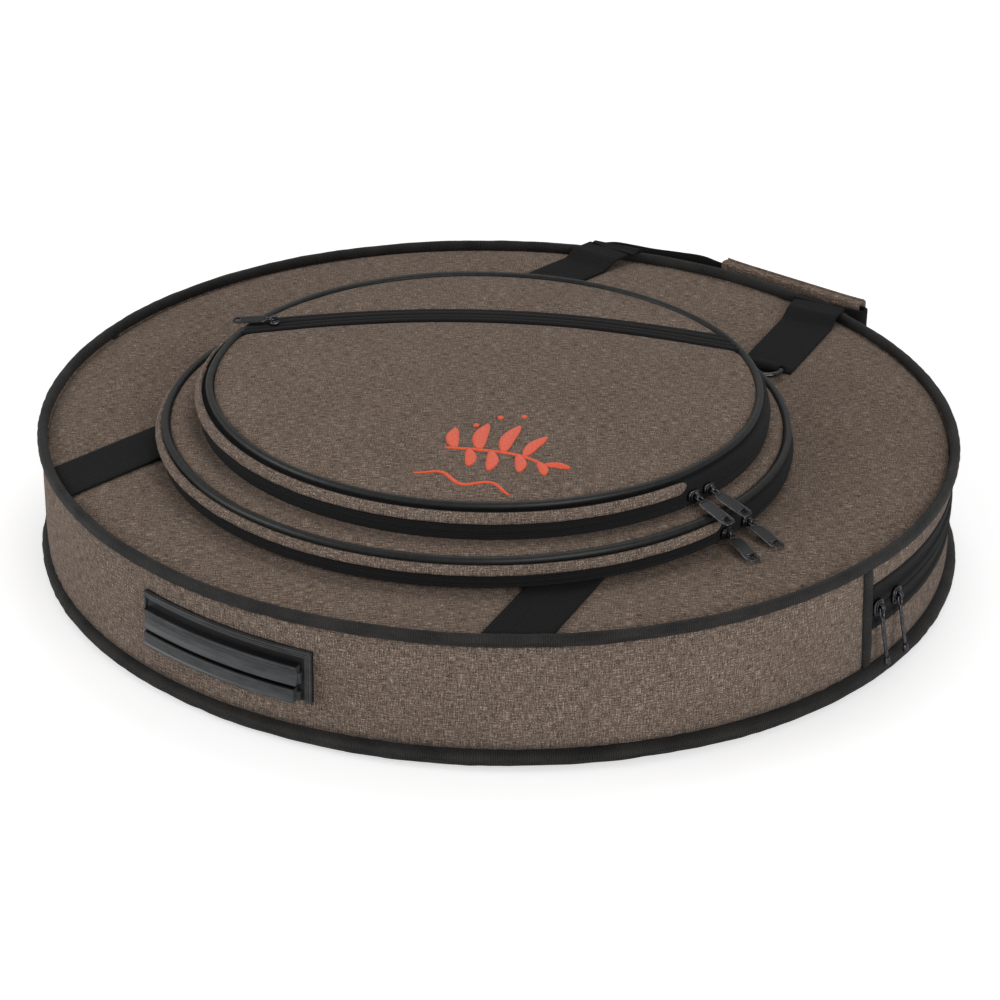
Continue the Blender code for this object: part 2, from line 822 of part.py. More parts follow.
def pockets():
    pocket_rings(
        "pocket_one", centre_one, one_base, one_tape_radius, one_tape_low, one_flap_rise,
        one_flap_angles, one_piping_radius, one_piping_size, one_piping_rise,
        (0.0, 0.0, 0.0), ONE_HINGE,
    )
    pocket_rings(
        "pocket_two", centre_two, two_base, two_tape_radius, two_tape_low, two_flap_rise,
        two_flap_angles, two_piping_radius, two_piping_size, two_piping_rise,
        ONE_HINGE, TWO_HINGE,
    )
    one_radius = one_piping_radius - one_piping_size / 2 - gap
    add(
        "pocket_one_top",
        prism(circle(one_radius, centre_one), one_top_low, one_top_low + pocket_panel_thick),
        HEATHER, ONE_HINGE,
    )
    whole = circle(two_radius, centre_two)
    within = two_within
    top = two_top_low + pocket_panel_thick
    front = beside_bow(whole, slip_bow_radius - slip_tape_half - gap, within, True)
    rear = beside_bow(whole, slip_bow_radius + slip_tape_half + gap, within, False)
    add("pocket_two_top", prism(front, two_top_low, top), HEATHER, TWO_HINGE)
    add("slip_pocket_top", prism(rear, two_top_low, top), HEATHER, TWO_HINGE)

    tape_low, tape_top = top - tape_thick, top
    profile = [
        (-slip_tape_half, tape_low), (slip_tape_half, tape_low), (slip_tape_half, tape_top),
        (slip_chain_half, tape_top), (slip_chain_half, tape_top + pocket_chain_proud),
        (-slip_chain_half, tape_top + pocket_chain_proud), (-slip_chain_half, tape_top),
        (-slip_tape_half, tape_top),
    ]
    rows = []
    for x, y in bow_arc(slip_bow_radius + slip_tape_half, within - gap):
        way = Vector((x - SLIP_CENTRE[0], y - SLIP_CENTRE[1])).normalized()
        rows.append([
            (SLIP_CENTRE[0] + way.x * (slip_bow_radius + v),
             SLIP_CENTRE[1] + way.y * (slip_bow_radius + v), z)
            for v, z in profile
        ])
    add("slip_zip_tape", loft(rows), TAPE, TWO_HINGE)
    lining_radius = two_tape_radius - tape_thick - gap
    lining_top = two_top_low - slip_lining_drop
    add(
        "slip_pocket_lining",
        prism(circle(lining_radius, centre_two), lining_top - slip_lining_thick, lining_top),
        LINING, TWO_HINGE,
    )


# Sliders and their pulls

def slider(word, foot, across, chain_way, out, half, pull, rest, slider_origin):
    """A slider whose plate stands on foot, with its pull on the bar through its crown.

    across is the pull's turning axis, chain_way and out complete the frame. The pull rests at
    the angle rest from minus chain_way towards out."""
    foot = Vector(foot)
    u_axis, v_axis, w_axis = Vector(across), Vector(chain_way), Vector(out)
    leg = crown_gap_half + crown_leg
    hole = slider_plate + crown_hole
    us = [-slider_width / 2, -crown_width / 2, crown_width / 2, slider_width / 2]
    vs = [-half, -leg, -crown_gap_half, crown_gap_half, leg, half]
    ws = [0.0, slider_plate, hole, hole + crown_cap]

    def body(u, v, w):
        if w < slider_plate:
            return True
        if abs(u) > crown_width / 2 or abs(v) > leg:
            return False
        return w > hole or abs(v) > crown_gap_half

    def place(u, v, w):
        return foot + u_axis * u + v_axis * v + w_axis * w

    add(f"{word}_slider", blocks(us, vs, ws, body, place), METAL, slider_origin)
    length, width = pull
    pivot = foot + w_axis * (slider_plate + crown_hole / 2)
    p_axis = -v_axis * math.cos(rest) + w_axis * math.sin(rest)
    q_axis = u_axis.cross(p_axis)
    bar = pull_thick / 2
    side = crown_width / 2 + gap
    slot = width / 2 * pull_slot_width_share
    start, end = length * pull_slot_start_share, length * pull_slot_end_share
    across_lines = sorted({-width / 2, -side, -slot, slot, side, width / 2})
    along_lines = [-bar, bar, pull_eye, start, end, length]

    def tag(u, p, q):
        if bar < p < pull_eye and abs(u) < side:
            return False
        return not (start < p < end and abs(u) < slot)

    def hang(u, p, q):
        return pivot + u_axis * u + p_axis * p + q_axis * q

    add(
        f"{word}_pull", blocks(across_lines, along_lines, [-bar, bar], tag, hang), METAL, pivot
    )


def sliders():
    short = (pull_length, pull_width)
    long = (main_pull_length, main_pull_width)
    up = (0.0, 0.0, 1.0)

    def round_slider(word, angle, centre, radius, z, half, pull, rest, origin):
        out = (math.cos(angle), math.sin(angle), 0.0)
        way = (-math.sin(angle), math.cos(angle), 0.0)
        foot = (centre[0] + radius * out[0], centre[1] + radius * out[1], z)
        slider(word, foot, way, up, out, half, pull, rest, origin)

    main_radius = gusset_radius - gap + chain_proud + gap
    for letter, angle in zip(("near", "far"), main_slider_angles):
        round_slider(f"main_{letter}", angle, (0.0, 0.0), main_radius, main_zip_height,
                     main_slider_half, long, main_pull_rest, (0.0, 0.0, main_zip_height))
    for word, middle, radius, z, angles, rest in (
        ("pocket_one", centre_one, one_tape_radius, one_split, one_slider_angles, one_pull_rest),
        ("pocket_two", centre_two, two_tape_radius, two_split, two_slider_angles, two_pull_rest),
    ):
        for letter, angle in zip(("left", "right"), angles):
            round_slider(f"{word}_{letter}", angle, middle,
                         radius + pocket_chain_proud + gap, z, pocket_slider_half, short,
                         rest, (*middle, z))
    top = two_top_low + pocket_panel_thick + pocket_chain_proud + gap
    way = bow_way(-slip_slider_share * bow_end(slip_bow_radius, two_within))
    foot = (
        SLIP_CENTRE[0] + slip_bow_radius * way[0], SLIP_CENTRE[1] + slip_bow_radius * way[1], top
    )
    along = (way[1], -way[0], 0.0)
    across = Vector(along).cross(Vector(up))
    slider("slip", foot, across, along, up, pocket_slider_half, short, slip_pull_rest,
           (*SLIP_CENTRE, top))


start_scene()
helpers = bpy.data.collections.new("joined_parts")
bpy.context.scene.collection.children.link(helpers)
panels()
side_wall()
divider()
rub_plate()
straps()
rings()
handle()
pockets()
sliders()
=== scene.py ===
"""Looks of the round padded cymbal bag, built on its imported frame, in metres with +Z up."""
import math

import bmesh
import bpy
import numpy as np
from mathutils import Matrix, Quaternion, Vector
from mathutils.bvhtree import BVHTree


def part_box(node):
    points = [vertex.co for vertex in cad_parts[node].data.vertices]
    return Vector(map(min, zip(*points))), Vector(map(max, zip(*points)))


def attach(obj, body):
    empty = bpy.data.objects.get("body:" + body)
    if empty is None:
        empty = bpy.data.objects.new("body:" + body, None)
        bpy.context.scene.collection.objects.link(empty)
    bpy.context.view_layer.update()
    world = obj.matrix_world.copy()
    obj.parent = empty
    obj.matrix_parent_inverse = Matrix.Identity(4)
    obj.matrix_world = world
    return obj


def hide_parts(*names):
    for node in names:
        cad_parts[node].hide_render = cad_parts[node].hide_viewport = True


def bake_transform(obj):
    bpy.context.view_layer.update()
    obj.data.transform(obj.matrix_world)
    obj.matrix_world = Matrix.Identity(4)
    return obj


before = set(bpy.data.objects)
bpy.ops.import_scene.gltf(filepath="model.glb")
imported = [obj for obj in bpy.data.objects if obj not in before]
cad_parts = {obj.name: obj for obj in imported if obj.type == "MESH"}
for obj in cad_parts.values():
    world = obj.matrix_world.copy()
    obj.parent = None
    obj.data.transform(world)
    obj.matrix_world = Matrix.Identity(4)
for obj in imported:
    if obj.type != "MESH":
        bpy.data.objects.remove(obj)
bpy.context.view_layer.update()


def low(node):
    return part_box(node)[0]


def high(node):
    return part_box(node)[1]


def centre_of(node):
    a, b = low(node), high(node)
    return np.array([(a.x + b.x) / 2, (a.y + b.y) / 2])


def radius_of(node):
    return (high(node).x - low(node).x) / 2


def level_of(node):
    return (low(node).z + high(node).z) / 2


def split_of(lower, upper):
    """Height half way between two nodes, one above the other."""
    return (high(lower).z + low(upper).z) / 2


# Sizes read from the frame
gap = 0.0003
bag_radius = high("upper_binding").x
lower_radius = high("lower_binding").x
panel_radius = high("back_cover").x
wall_radius = -low("gusset_cover").y
wall_low, wall_high = low("gusset_cover").z, high("gusset_cover").z
front_top = high("front_cover").z
bag_height = high("upper_binding").z
fold_y = low("flap_cover").y
zip_split = split_of("main_zip_tape_lower", "main_zip_tape_flap")
strap_thick = high("handle_back").z
strap_width = 0.038
centre_one = centre_of("pocket_one_top")
centre_two = centre_of("pocket_two_piping")

# Directions on the top, and the angles of the zip's ends
pocket_hinge_angle = math.radians(121.0)
cloth_angle = pocket_hinge_angle - math.pi / 2
zip_end_angle = math.radians(-8.3)

# Webbing, in the same places as the frame's
strap_handle_x = 0.0885
strap_kick_x = 0.170
strap_handle_y = bag_radius - 0.0185
strap_kick_y = 0.0665 - bag_radius
climb_start = bag_radius - 0.050
climb_end = bag_radius - 0.035
strap_level = front_top + gap + strap_thick / 2
crossing_level = bag_height + gap + strap_thick / 2
handle_axis_y = bag_radius - 0.0145
handle_seam_y = handle_axis_y - 0.007
ring_y = high("ring_right").y - 0.00175
ring_wire = 0.0035
tab_width = 0.025
tab_thick = 0.0012
tab_length = 0.012

# Camera, set to the photograph's view
view_azimuth = math.radians(33.0)
view_elevation = math.radians(26.97)
view_roll = math.radians(1.17)
view_distance = 2.019
view_middle = Vector((0.0013, 0.0008, 0.0230))
view_lens = 108.0


def camera():
    back = Vector((
        math.sin(view_azimuth) * math.cos(view_elevation),
        -math.cos(view_azimuth) * math.cos(view_elevation),
        math.sin(view_elevation),
    ))
    made = bpy.data.objects.new("camera", bpy.data.cameras.new("camera"))
    bpy.context.scene.collection.objects.link(made)
    made.data.lens = view_lens
    made.location = view_middle + back * view_distance
    aim = (-back).to_track_quat("-Z", "Y") @ Quaternion((0, 0, 1), view_roll)
    made.rotation_euler = aim.to_euler()
    bpy.context.scene.camera = made


# Node helpers

def colour(text):
    """Linear colour from the six hex digits of a screen colour."""
    parts = [int(text[n:n + 2], 16) / 255 for n in (0, 2, 4)]
    return tuple(p / 12.92 if p <= 0.04045 else ((p + 0.055) / 1.055) ** 2.4 for p in parts)


class Wire:
    """An output of a node, which can be added, taken away and multiplied."""

    def __init__(self, look, socket):
        self.look, self.socket = look, socket

    def __add__(self, other):
        return self.look.math("ADD", self, other)

    def __rsub__(self, other):
        return self.look.math("SUBTRACT", other, self)

    def __mul__(self, other):
        return self.look.math("MULTIPLY", self, other)


class Look:
    """A material and short ways to add nodes to it. Cloth coordinates are in metres."""

    def __init__(self, name, roughness, metallic=0.0, sheen=0.0, specular=0.5):
        self.material = bpy.data.materials.new(name)
        self.material.use_nodes = True
        self.tree = self.material.node_tree
        self.shader = self.tree.nodes["Principled BSDF"]
        for key, value in (
            ("Roughness", roughness), ("Metallic", metallic), ("Sheen Weight", sheen),
            ("Specular IOR Level", specular),
        ):
            self.shader.inputs[key].default_value = value

    def add(self, kind, *values, output=0, **settings):
        """A node with its first inputs filled; gives one of its outputs."""
        node = self.tree.nodes.new(kind)
        for key, value in settings.items():
            setattr(node, key, value)
        for socket, value in zip(node.inputs, values):
            self.put(socket, value)
        return Wire(self, node.outputs[output])

    def put(self, socket, value):
        if isinstance(value, Wire):
            self.tree.links.new(value.socket, socket)
        elif value is not None:
            socket.default_value = value

    def math(self, operation, *values):
        return self.add("ShaderNodeMath", *values, operation=operation)

    def noise(self, source, scale, detail, rough, solid):
        place = self.add("ShaderNodeVectorMath", source, scale, operation="MULTIPLY")
        return self.add(
            "ShaderNodeTexNoise", place, None, 1.0, detail, rough,
            noise_dimensions="3D" if solid else "2D",
        )

    def fuzz(self, x, y, detail=2.0, rough=0.5):
        """Noise on the cloth whose grains are x by y metres."""
        cloth = self.add("ShaderNodeUVMap", uv_map="cloth")
        return self.noise(cloth, (1 / x, 1 / y, 0.0), detail, rough, False)

    def grain(self, scale, detail=2.0, rough=0.5):
        """Noise through the body of the piece, by grains per metre."""
        place = self.add("ShaderNodeTexCoord", output="Object")
        return self.noise(place, scale, detail, rough, True)

    def ramp(self, source, *stops):
        wire = self.add("ShaderNodeValToRGB", source)
        elements = wire.socket.node.color_ramp.elements
        while len(elements) < len(stops):
            elements.new(1.0)
        for element, (position, shade) in zip(elements, stops):
            element.position = position
            element.color = (*(colour(shade) if isinstance(shade, str) else shade), 1.0)
        return wire

    def multiplied(self, first, second):
        node = self.tree.nodes.new("ShaderNodeMix")
        node.data_type, node.blend_type = "RGBA", "MULTIPLY"
        for number, value in ((0, 1.0), (6, first), (7, second)):
            self.put(node.inputs[number], value)
        return Wire(self, node.outputs[2])

    def cloth(self, axis):
        place = self.add("ShaderNodeUVMap", uv_map="cloth")
        return self.add("ShaderNodeSeparateXYZ", place, output=axis)

    def wave(self, axis, pitch):
        """A sine from -1 to 1 along one cloth axis."""
        return self.math("SINE", self.cloth(axis) * (2 * math.pi / pitch))

    def finish(self, shade, height, distance, strength, rough=None):
        bump = self.tree.nodes.new("ShaderNodeBump")
        for key, value in (("Strength", strength), ("Distance", distance), ("Height", height)):
            self.put(bump.inputs[key], value)
        self.put(self.shader.inputs["Base Color"], shade)
        self.put(self.shader.inputs["Normal"], Wire(self, bump.outputs[0]))
        self.put(self.shader.inputs["Roughness"], rough)
        return self.material


# Materials

thread_pitch = 0.0010
slub_length = 0.0065
slub_width = 0.00062


def heather(name, weft_share, tint=(1.0, 1.0, 1.0)):
    """Melange fabric: light and dark slubs along both threads of a plain weave."""
    look = Look(name, 0.9, sheen=0.05, specular=0.12)
    weft = look.fuzz(slub_length, slub_width, 2.5, 0.6)
    warp = look.fuzz(slub_width, slub_length, 2.5, 0.6)
    speck = look.fuzz(0.0009, 0.0009, 2.0, 0.6)
    over = look.wave(0, 2 * thread_pitch) * look.wave(1, 2 * thread_pitch)
    part = over * 0.3 + weft_share
    slub = (weft * part + warp * (1.0 - part)) * 0.68 + speck * 0.32
    tone = look.ramp(slub, (0.35, "362e29"), (0.46, "695b51"), (0.54, "827267"), (0.66, "c2b1a1"))
    broad = look.fuzz(0.045, 0.045, 3.0, 0.55)
    wear = look.ramp(broad, (0.3, (0.90, 0.89, 0.88)), (0.7, (1.0, 1.0, 1.0)))
    # tint multiplies the whole cloth colour; on the top's copy it is painted shade
    shade = look.multiplied(look.multiplied(tone, wear), (*tint, 1.0))
    return look.finish(shade, over * 0.5 + slub, 0.00035, 0.7)


def ribbed(name, dark, light, pitch, depth):
    """Woven tape with ribs across its length; cloth x runs along it."""
    look = Look(name, 0.62, sheen=0.05, specular=0.2)
    rib = look.wave(0, pitch)
    fuzz = look.fuzz(0.0006, 0.002, 3.0, 0.6)
    value = rib * 0.10 + fuzz * 0.5 + look.fuzz(0.03, 0.03) * 0.5
    return look.finish(look.ramp(value, (0.25, dark), (0.85, light)), rib * 0.3 + fuzz, depth, 0.8)


def webbing_look(name):
    """Black webbing: cloth x runs along it, with a fine herringbone across its width."""
    look = Look(name, 0.7, sheen=0.02, specular=0.15)
    across = look.wave(1, 0.0052)
    along = look.cloth(0) + look.math("ABSOLUTE", across) * 0.0016
    pick = look.math("SINE", along * (2 * math.pi / 0.0017))
    fuzz = look.fuzz(0.0009, 0.0009, 3.0, 0.6)
    shade = look.ramp(pick * 0.18 + fuzz, (0.25, "0a0a0b"), (0.85, "262627"))
    return look.finish(shade, pick * 0.6 + across * 0.2 + fuzz, 0.0004, 0.8)


def satin(name):
    """Smooth bias tape over the piping cord."""
    look = Look(name, 0.42, sheen=0.02, specular=0.35)
    value = look.fuzz(0.0007, 0.0004) * 0.5 + look.fuzz(0.004, 0.009) * 0.5
    return look.finish(look.ramp(value, (0.3, "131414"), (0.8, "2a2c2b")), value, 0.0003, 0.6)


def tape_look(name):
    """Knitted zip tape: fine ribs along its length."""
    look = Look(name, 0.75, sheen=0.04, specular=0.15)
    rib = look.wave(1, 0.0011)
    fuzz = look.fuzz(0.0008, 0.0008, 3.0, 0.7)
    shade = look.ramp(rib * 0.12 + fuzz, (0.3, "0d0d0e"), (0.85, "29292a"))
    return look.finish(shade, (rib + look.wave(0, 0.0009)) * 0.3 + fuzz, 0.0003, 0.7)


def lining_look(name):
    look = Look(name, 0.8, sheen=0.1, specular=0.3)
    value = look.wave(0, 0.0012) * look.wave(1, 0.0012) * 0.1 + look.fuzz(0.002, 0.002, 3.0)
    return look.finish(look.ramp(value, (0.3, "26272a"), (0.8, "3a3b3f")), value, 0.0002, 0.6)


def plastic_look(name, dark, light):
    """Moulded plastic with a fine grain and light scuffs."""
    look = Look(name, 0.42, specular=0.5)
    scuff = look.grain((60, 60, 240), 4.0, 0.65)
    shade = look.ramp(scuff, (0.3, dark), (0.75, light))
    return look.finish(shade, look.grain((1400,) * 3), 0.00015, 0.35, scuff * 0.25 + 0.3)


def metal_look(name):
    """Dark plated metal, brushed by use."""
    look = Look(name, 0.3, metallic=1.0)
    worn = look.grain((500,) * 3, 3.0, 0.6)
    shade = look.ramp(worn, (0.3, "3c3c3f"), (0.7, "6e6e72"))
    return look.finish(shade, worn, 0.0001, 0.3, worn * 0.2 + 0.22)


def enamel_look(name):
    """Black enamel on the flat of a zip pull."""
    look = Look(name, 0.38, specular=0.4)
    worn = look.grain((900,) * 3, 3.0, 0.6)
    return look.finish(look.ramp(worn, (0.3, "0c0c0d"), (0.8, "1b1b1d")), worn, 0.0001, 0.3)


def thread_look(name, dark, light):
    """Twisted sewing thread; cloth x runs along a stitch."""
    look = Look(name, 0.45, sheen=0.3, specular=0.5)
    shade = look.ramp(look.fuzz(0.0015, 0.0004), (0.3, dark), (0.7, light))
    return look.finish(shade, look.wave(0, 0.0006), 0.0001, 0.6)


def floor_look():
    """Pale floor that looks white to the camera and keeps the bag's shadow."""
    look = Look("floor", 0.9, specular=0.0)
    cloud = look.grain((3,) * 3)
    shade = look.ramp(cloud, (0.3, (0.80, 0.80, 0.80)), (0.7, (0.82, 0.82, 0.82)))
    look.put(look.shader.inputs["Base Color"], shade)
    rays = [look.add("ShaderNodeLightPath", output=f"Is {kind} Ray") for kind in
            ("Camera", "Transmission")]
    glow = look.add("ShaderNodeEmission", None, look.math("MAXIMUM", *rays) * 0.55)
    both = look.add("ShaderNodeAddShader", Wire(look, look.shader.outputs[0]), glow)
    look.put(look.tree.nodes["Material Output"].inputs[0], both)
    return look.material


# The top's copy is tinted warmer and a little darker than the side's: painted shade of the top
# faces under the light.
HEATHER = heather("heather_top", 0.66, (1.0, 0.975, 0.94))
HEATHER_SIDE = heather("heather_side", 0.5)
TRIM = ribbed("ribbed_trim", "0b0b0c", "3e3c3a", 0.0014, 0.0005)
PIPING = satin("piping_satin")
TAPE = tape_look("zip_tape_knit")
WEBBING = webbing_look("webbing_black")
LINING = lining_look("lining_weave")
PLASTIC = plastic_look("plate_plastic", "303132", "4c4e50")
# A near-black copy of the plate's plastic: painted shade for the slots of the rub plate.
PLASTIC_PAINTED_SHADE = plastic_look("plate_painted_shade", "070707", "121213")
METAL = metal_look("plated_metal")
ENAMEL = enamel_look("black_enamel")
BLACK_THREAD = thread_look("black_thread", "0c0c0d", "2c2c2e")
BROWN_THREAD = thread_look("brown_thread", "3b332c", "6d6157")
ORANGE_THREAD = thread_look("orange_thread", "ff3300", "ff6a1e")


# Shapes

def lengths(points, closed=False):
    """Distance along a line of points, with the way back to the first where it is closed."""
    points = np.asarray(points, float)
    if closed:
        points = np.vstack([points, points[:1]])
    steps = np.linalg.norm(np.diff(points, axis=0), axis=1)
    return np.concatenate([[0.0], np.cumsum(steps)])


def unit(vectors):
    return vectors / np.maximum(np.linalg.norm(vectors, axis=-1, keepdims=True), 1e-12)


def looped(values):
    return np.concatenate([values, values[:1]])


def share(values):
    """Values held between 0 and 1."""
    return np.clip(values, 0, 1)


def droop(near):
    """How far a soft edge falls, from 0 inside to about 1 at the rim."""
    return 1 - np.sqrt(1 - 0.98 * near ** 2)


class Shape:
    """Points, faces and cloth coordinates of one piece, gathered part by part."""

    def __init__(self):
        self.points, self.faces, self.cloth, self.looks = [], [], [], []

    def put(self, points):
        """Adds a grid of points and returns their numbers in the same layout."""
        points = np.asarray(points, float)
        first = len(self.points)
        self.points.extend(points.reshape(-1, 3).tolist())
        return np.arange(points.size // 3).reshape(points.shape[:-1]) + first

    def quads(self, numbers, cloth, look=0):
        for grid, found, axis in ((numbers, self.faces, -1), (cloth, self.cloth, -2)):
            corners = [grid[:-1, :-1], grid[1:, :-1], grid[1:, 1:], grid[:-1, 1:]]
            width = 4 if axis == -1 else 2
            found.extend(np.stack(corners, axis).reshape(-1, width).tolist())
        self.looks.extend([look] * (numbers.shape[0] - 1) * (numbers.shape[1] - 1))

    def tube(self, points, u, v, look=0, closed=False):
        """Rings of points joined into a skin, whose ends are joined or capped."""
        numbers = self.put(points)
        if closed:
            numbers = looped(numbers)
        numbers = np.hstack([numbers, numbers[:, :1]])
        cloth = np.stack(np.meshgrid(u, v, indexing="ij"), -1)
        self.quads(numbers, cloth, look)
        for end in () if closed else (0, -1):
            self.faces.append(list(map(int, numbers[end][:-1])))
            self.cloth.extend(cloth[end][:-1].tolist())
            self.looks.append(look)

    def make(self, name, *materials, smooth=True):
        mesh = bpy.data.meshes.new(name)
        mesh.from_pydata(self.points, [], self.faces)
        layer = mesh.uv_layers.new(name="cloth")
        layer.data.foreach_set("uv", np.array(self.cloth, np.float32).ravel())
        mesh.polygons.foreach_set("material_index", self.looks)
        mesh.polygons.foreach_set("use_smooth", [smooth] * len(self.faces))
        bm = bmesh.new()
        bm.from_mesh(mesh)
        bmesh.ops.recalc_face_normals(bm, faces=bm.faces)
        bm.to_mesh(mesh)
        bm.free()
        for one in materials:
            mesh.materials.append(one)
        made = bpy.data.objects.new(name, mesh)
        bpy.context.scene.collection.objects.link(made)
        return made


def sweep(shape, path, across, section, closed=False, skew=False):
    """A closed section of (across, normal) offsets carried along a path of points."""
    path = np.asarray(path, float)
    across = np.broadcast_to(np.asarray(across, float), path.shape)
    if closed:
        along = unit(np.roll(path, -1, 0) - np.roll(path, 1, 0))
    else:
        along = unit(np.gradient(path, axis=0))
    if not skew:
        across = across - (across * along).sum(1, keepdims=True) * along
    across = unit(across)
    normal = unit(np.cross(across, along))
    section = np.broadcast_to(section, (len(path), *np.shape(section)[-2:]))
    shape.tube(
        path[:, None] + across[:, None] * section[..., :1] + normal[:, None] * section[..., 1:],
        lengths(path, closed), lengths(section[0], True), closed=closed,
    )


def turned(shape, section, angles, centre=(0.0, 0.0), closed=False, look=0):
    """A closed section of (radius, height) turned about a vertical line through centre."""
    section = np.asarray(section, float)
    if section.ndim == 2:
        section = np.broadcast_to(section, (len(angles), *section.shape))
    r, z = section[..., 0], section[..., 1]
    a = angles[:, None]
    points = np.stack([centre[0] + r * np.cos(a), centre[1] + r * np.sin(a), z], -1)
    u = angles * r.mean()
    if closed:
        u = np.append(u, u[0] + 2 * math.pi * r.mean())
    shape.tube(points, u, lengths(section[len(section) // 2], True), look, closed)


def turns(count):
    return np.linspace(0, 2 * math.pi, count, endpoint=False)


def round_section(half_width, half_height, power=2.0, count=16):
    """A superellipse of points: power 2 is an ellipse, and more is squarer."""
    c, s = np.cos(turns(count)), np.sin(turns(count))
    e = 2.0 / power
    return np.stack([
        half_width * np.sign(c) * np.abs(c) ** e, half_height * np.sign(s) * np.abs(s) ** e
    ], -1)


def band_section(width, thick, steps=10):
    """Flat webbing with round selvedges."""
    w, t = width / 2 - thick / 2, thick / 2
    line = np.linspace(-w, w, steps + 1)
    turn = np.linspace(math.pi / 2, -math.pi / 2, 5)[1:-1]
    top = np.stack([line, np.full_like(line, t)], -1)
    right = np.stack([w + t * np.cos(turn), t * np.sin(turn)], -1)
    return np.vstack([top, right, -top, -right])


def smooth_line(points, per_span=6):
    """A Catmull-Rom line through points of any size."""
    p = np.asarray(points, float)
    p = np.vstack([2 * p[0] - p[1], p, 2 * p[-1] - p[-2]])
    out = []
    t = np.linspace(0, 1, per_span, endpoint=False)[:, None]
    for a, b, c, d in zip(p, p[1:], p[2:], p[3:]):
        out.append(0.5 * (
            2 * b + (c - a) * t + (2 * a - 5 * b + 4 * c - d) * t ** 2
            + (3 * b - a - 3 * c + d) * t ** 3
        ))
    return np.vstack([*out, p[-2:-1]])


def ripple(along, seed, waves, size):
    """A sum of sines over whole numbers of waves per turn of the angle along."""
    rng = np.random.default_rng(seed)
    total = sum(
        np.sin(n * along + rng.uniform(0, 2 * math.pi)) * rng.uniform(0.5, 1.0) for n in waves
    )
    return size * total / math.sqrt(len(waves))


def rumple(x, y, seed, wavelength, size, count=9):
    """Soft folds over a flat place, from sines in mixed directions."""
    rng = np.random.default_rng(seed)
    total = np.zeros_like(x)
    for _ in range(count):
        way, phase = rng.uniform(0, 2 * math.pi, 2)
        length = wavelength * rng.uniform(0.6, 1.8)
        total += np.sin(2 * math.pi / length * (x * math.cos(way) + y * math.sin(way)) + phase)
    return size * total / math.sqrt(count)


def disc_grid(radius, steps, centre=(0.0, 0.0)):
    line = np.linspace(-1, 1, steps + 1)
    u, v = np.meshgrid(line, line, indexing="ij")
    x, y = u * np.sqrt(1 - v * v / 2) * radius, v * np.sqrt(1 - u * u / 2) * radius
    return x + centre[0], y + centre[1]


def away(x, y, centre):
    return np.hypot(x - centre[0], y - centre[1])


def rim_share(x, y, radius, soft, centre=(0.0, 0.0)):
    """1 at the edge of a round panel, falling to 0 at a distance soft inside it."""
    return share((away(x, y, centre) - radius + soft) / soft)


def weave_at(x, y, angle=0.0):
    """Cloth coordinates whose first axis runs at an angle on the plan."""
    c, s = math.cos(angle), math.sin(angle)
    return np.stack([x * c + y * s, -x * s + y * c], -1)


def pad(shape, x, y, top, bottom, cloth, looks=(0, 1)):
    """A closed pad over one grid of places: a top skin, a bottom skin and the rim between."""
    def border(grid):
        return looped(np.concatenate([
            grid[0, :-1], grid[:-1, -1], grid[-1, :0:-1], grid[:0:-1, 0]
        ]))

    skins = []
    for level, look in zip((top, bottom), looks):
        skins.append(shape.put(np.stack([x, y, np.broadcast_to(level, x.shape)], -1)))
    for skin, look in zip(skins, looks):
        shape.quads(skin, cloth, look)
    edge = border(cloth)
    rim = np.stack([border(skin) for skin in skins])
    shape.quads(rim, np.stack([edge, edge + 0.004]), looks[0])
    return skins


puff_pressure = 4.0
puff_mass = 0.3
puff_frames = 20


def puff(piece, held, cap):
    """Swells a closed pad with a short cloth simulation. Held points stay where they are, and
    no point moves further than cap."""
    mesh = piece.data
    rest = np.zeros(len(mesh.vertices) * 3)
    mesh.vertices.foreach_get("co", rest)
    rest = rest.reshape(-1, 3)
    group = piece.vertex_groups.new(name="held")
    group.add([int(n) for n in held], 1.0, "REPLACE")
    cloth = piece.modifiers.new("cloth", "CLOTH")
    cloth.settings.quality = 4
    cloth.settings.mass = puff_mass
    cloth.settings.use_pressure = True
    cloth.settings.uniform_pressure_force = puff_pressure
    cloth.settings.vertex_group_mass = "held"
    cloth.settings.effector_weights.gravity = 0.0
    scene = bpy.context.scene
    for number in range(1, puff_frames + 1):
        scene.frame_set(number)
    ready = piece.evaluated_get(bpy.context.evaluated_depsgraph_get())
    moved = np.zeros(len(rest) * 3)
    ready.data.vertices.foreach_get("co", moved)
    moved = moved.reshape(-1, 3) - rest
    size = np.linalg.norm(moved, axis=1, keepdims=True)
    moved *= cap * np.tanh(size / cap) / np.maximum(size, 1e-9)
    piece.modifiers.remove(cloth)
    piece.vertex_groups.remove(group)
    scene.frame_set(1)
    mesh.vertices.foreach_set("co", (rest + moved).ravel())
    mesh.update()
    piece.modifiers.new("smooth", "SUBSURF").render_levels = 1


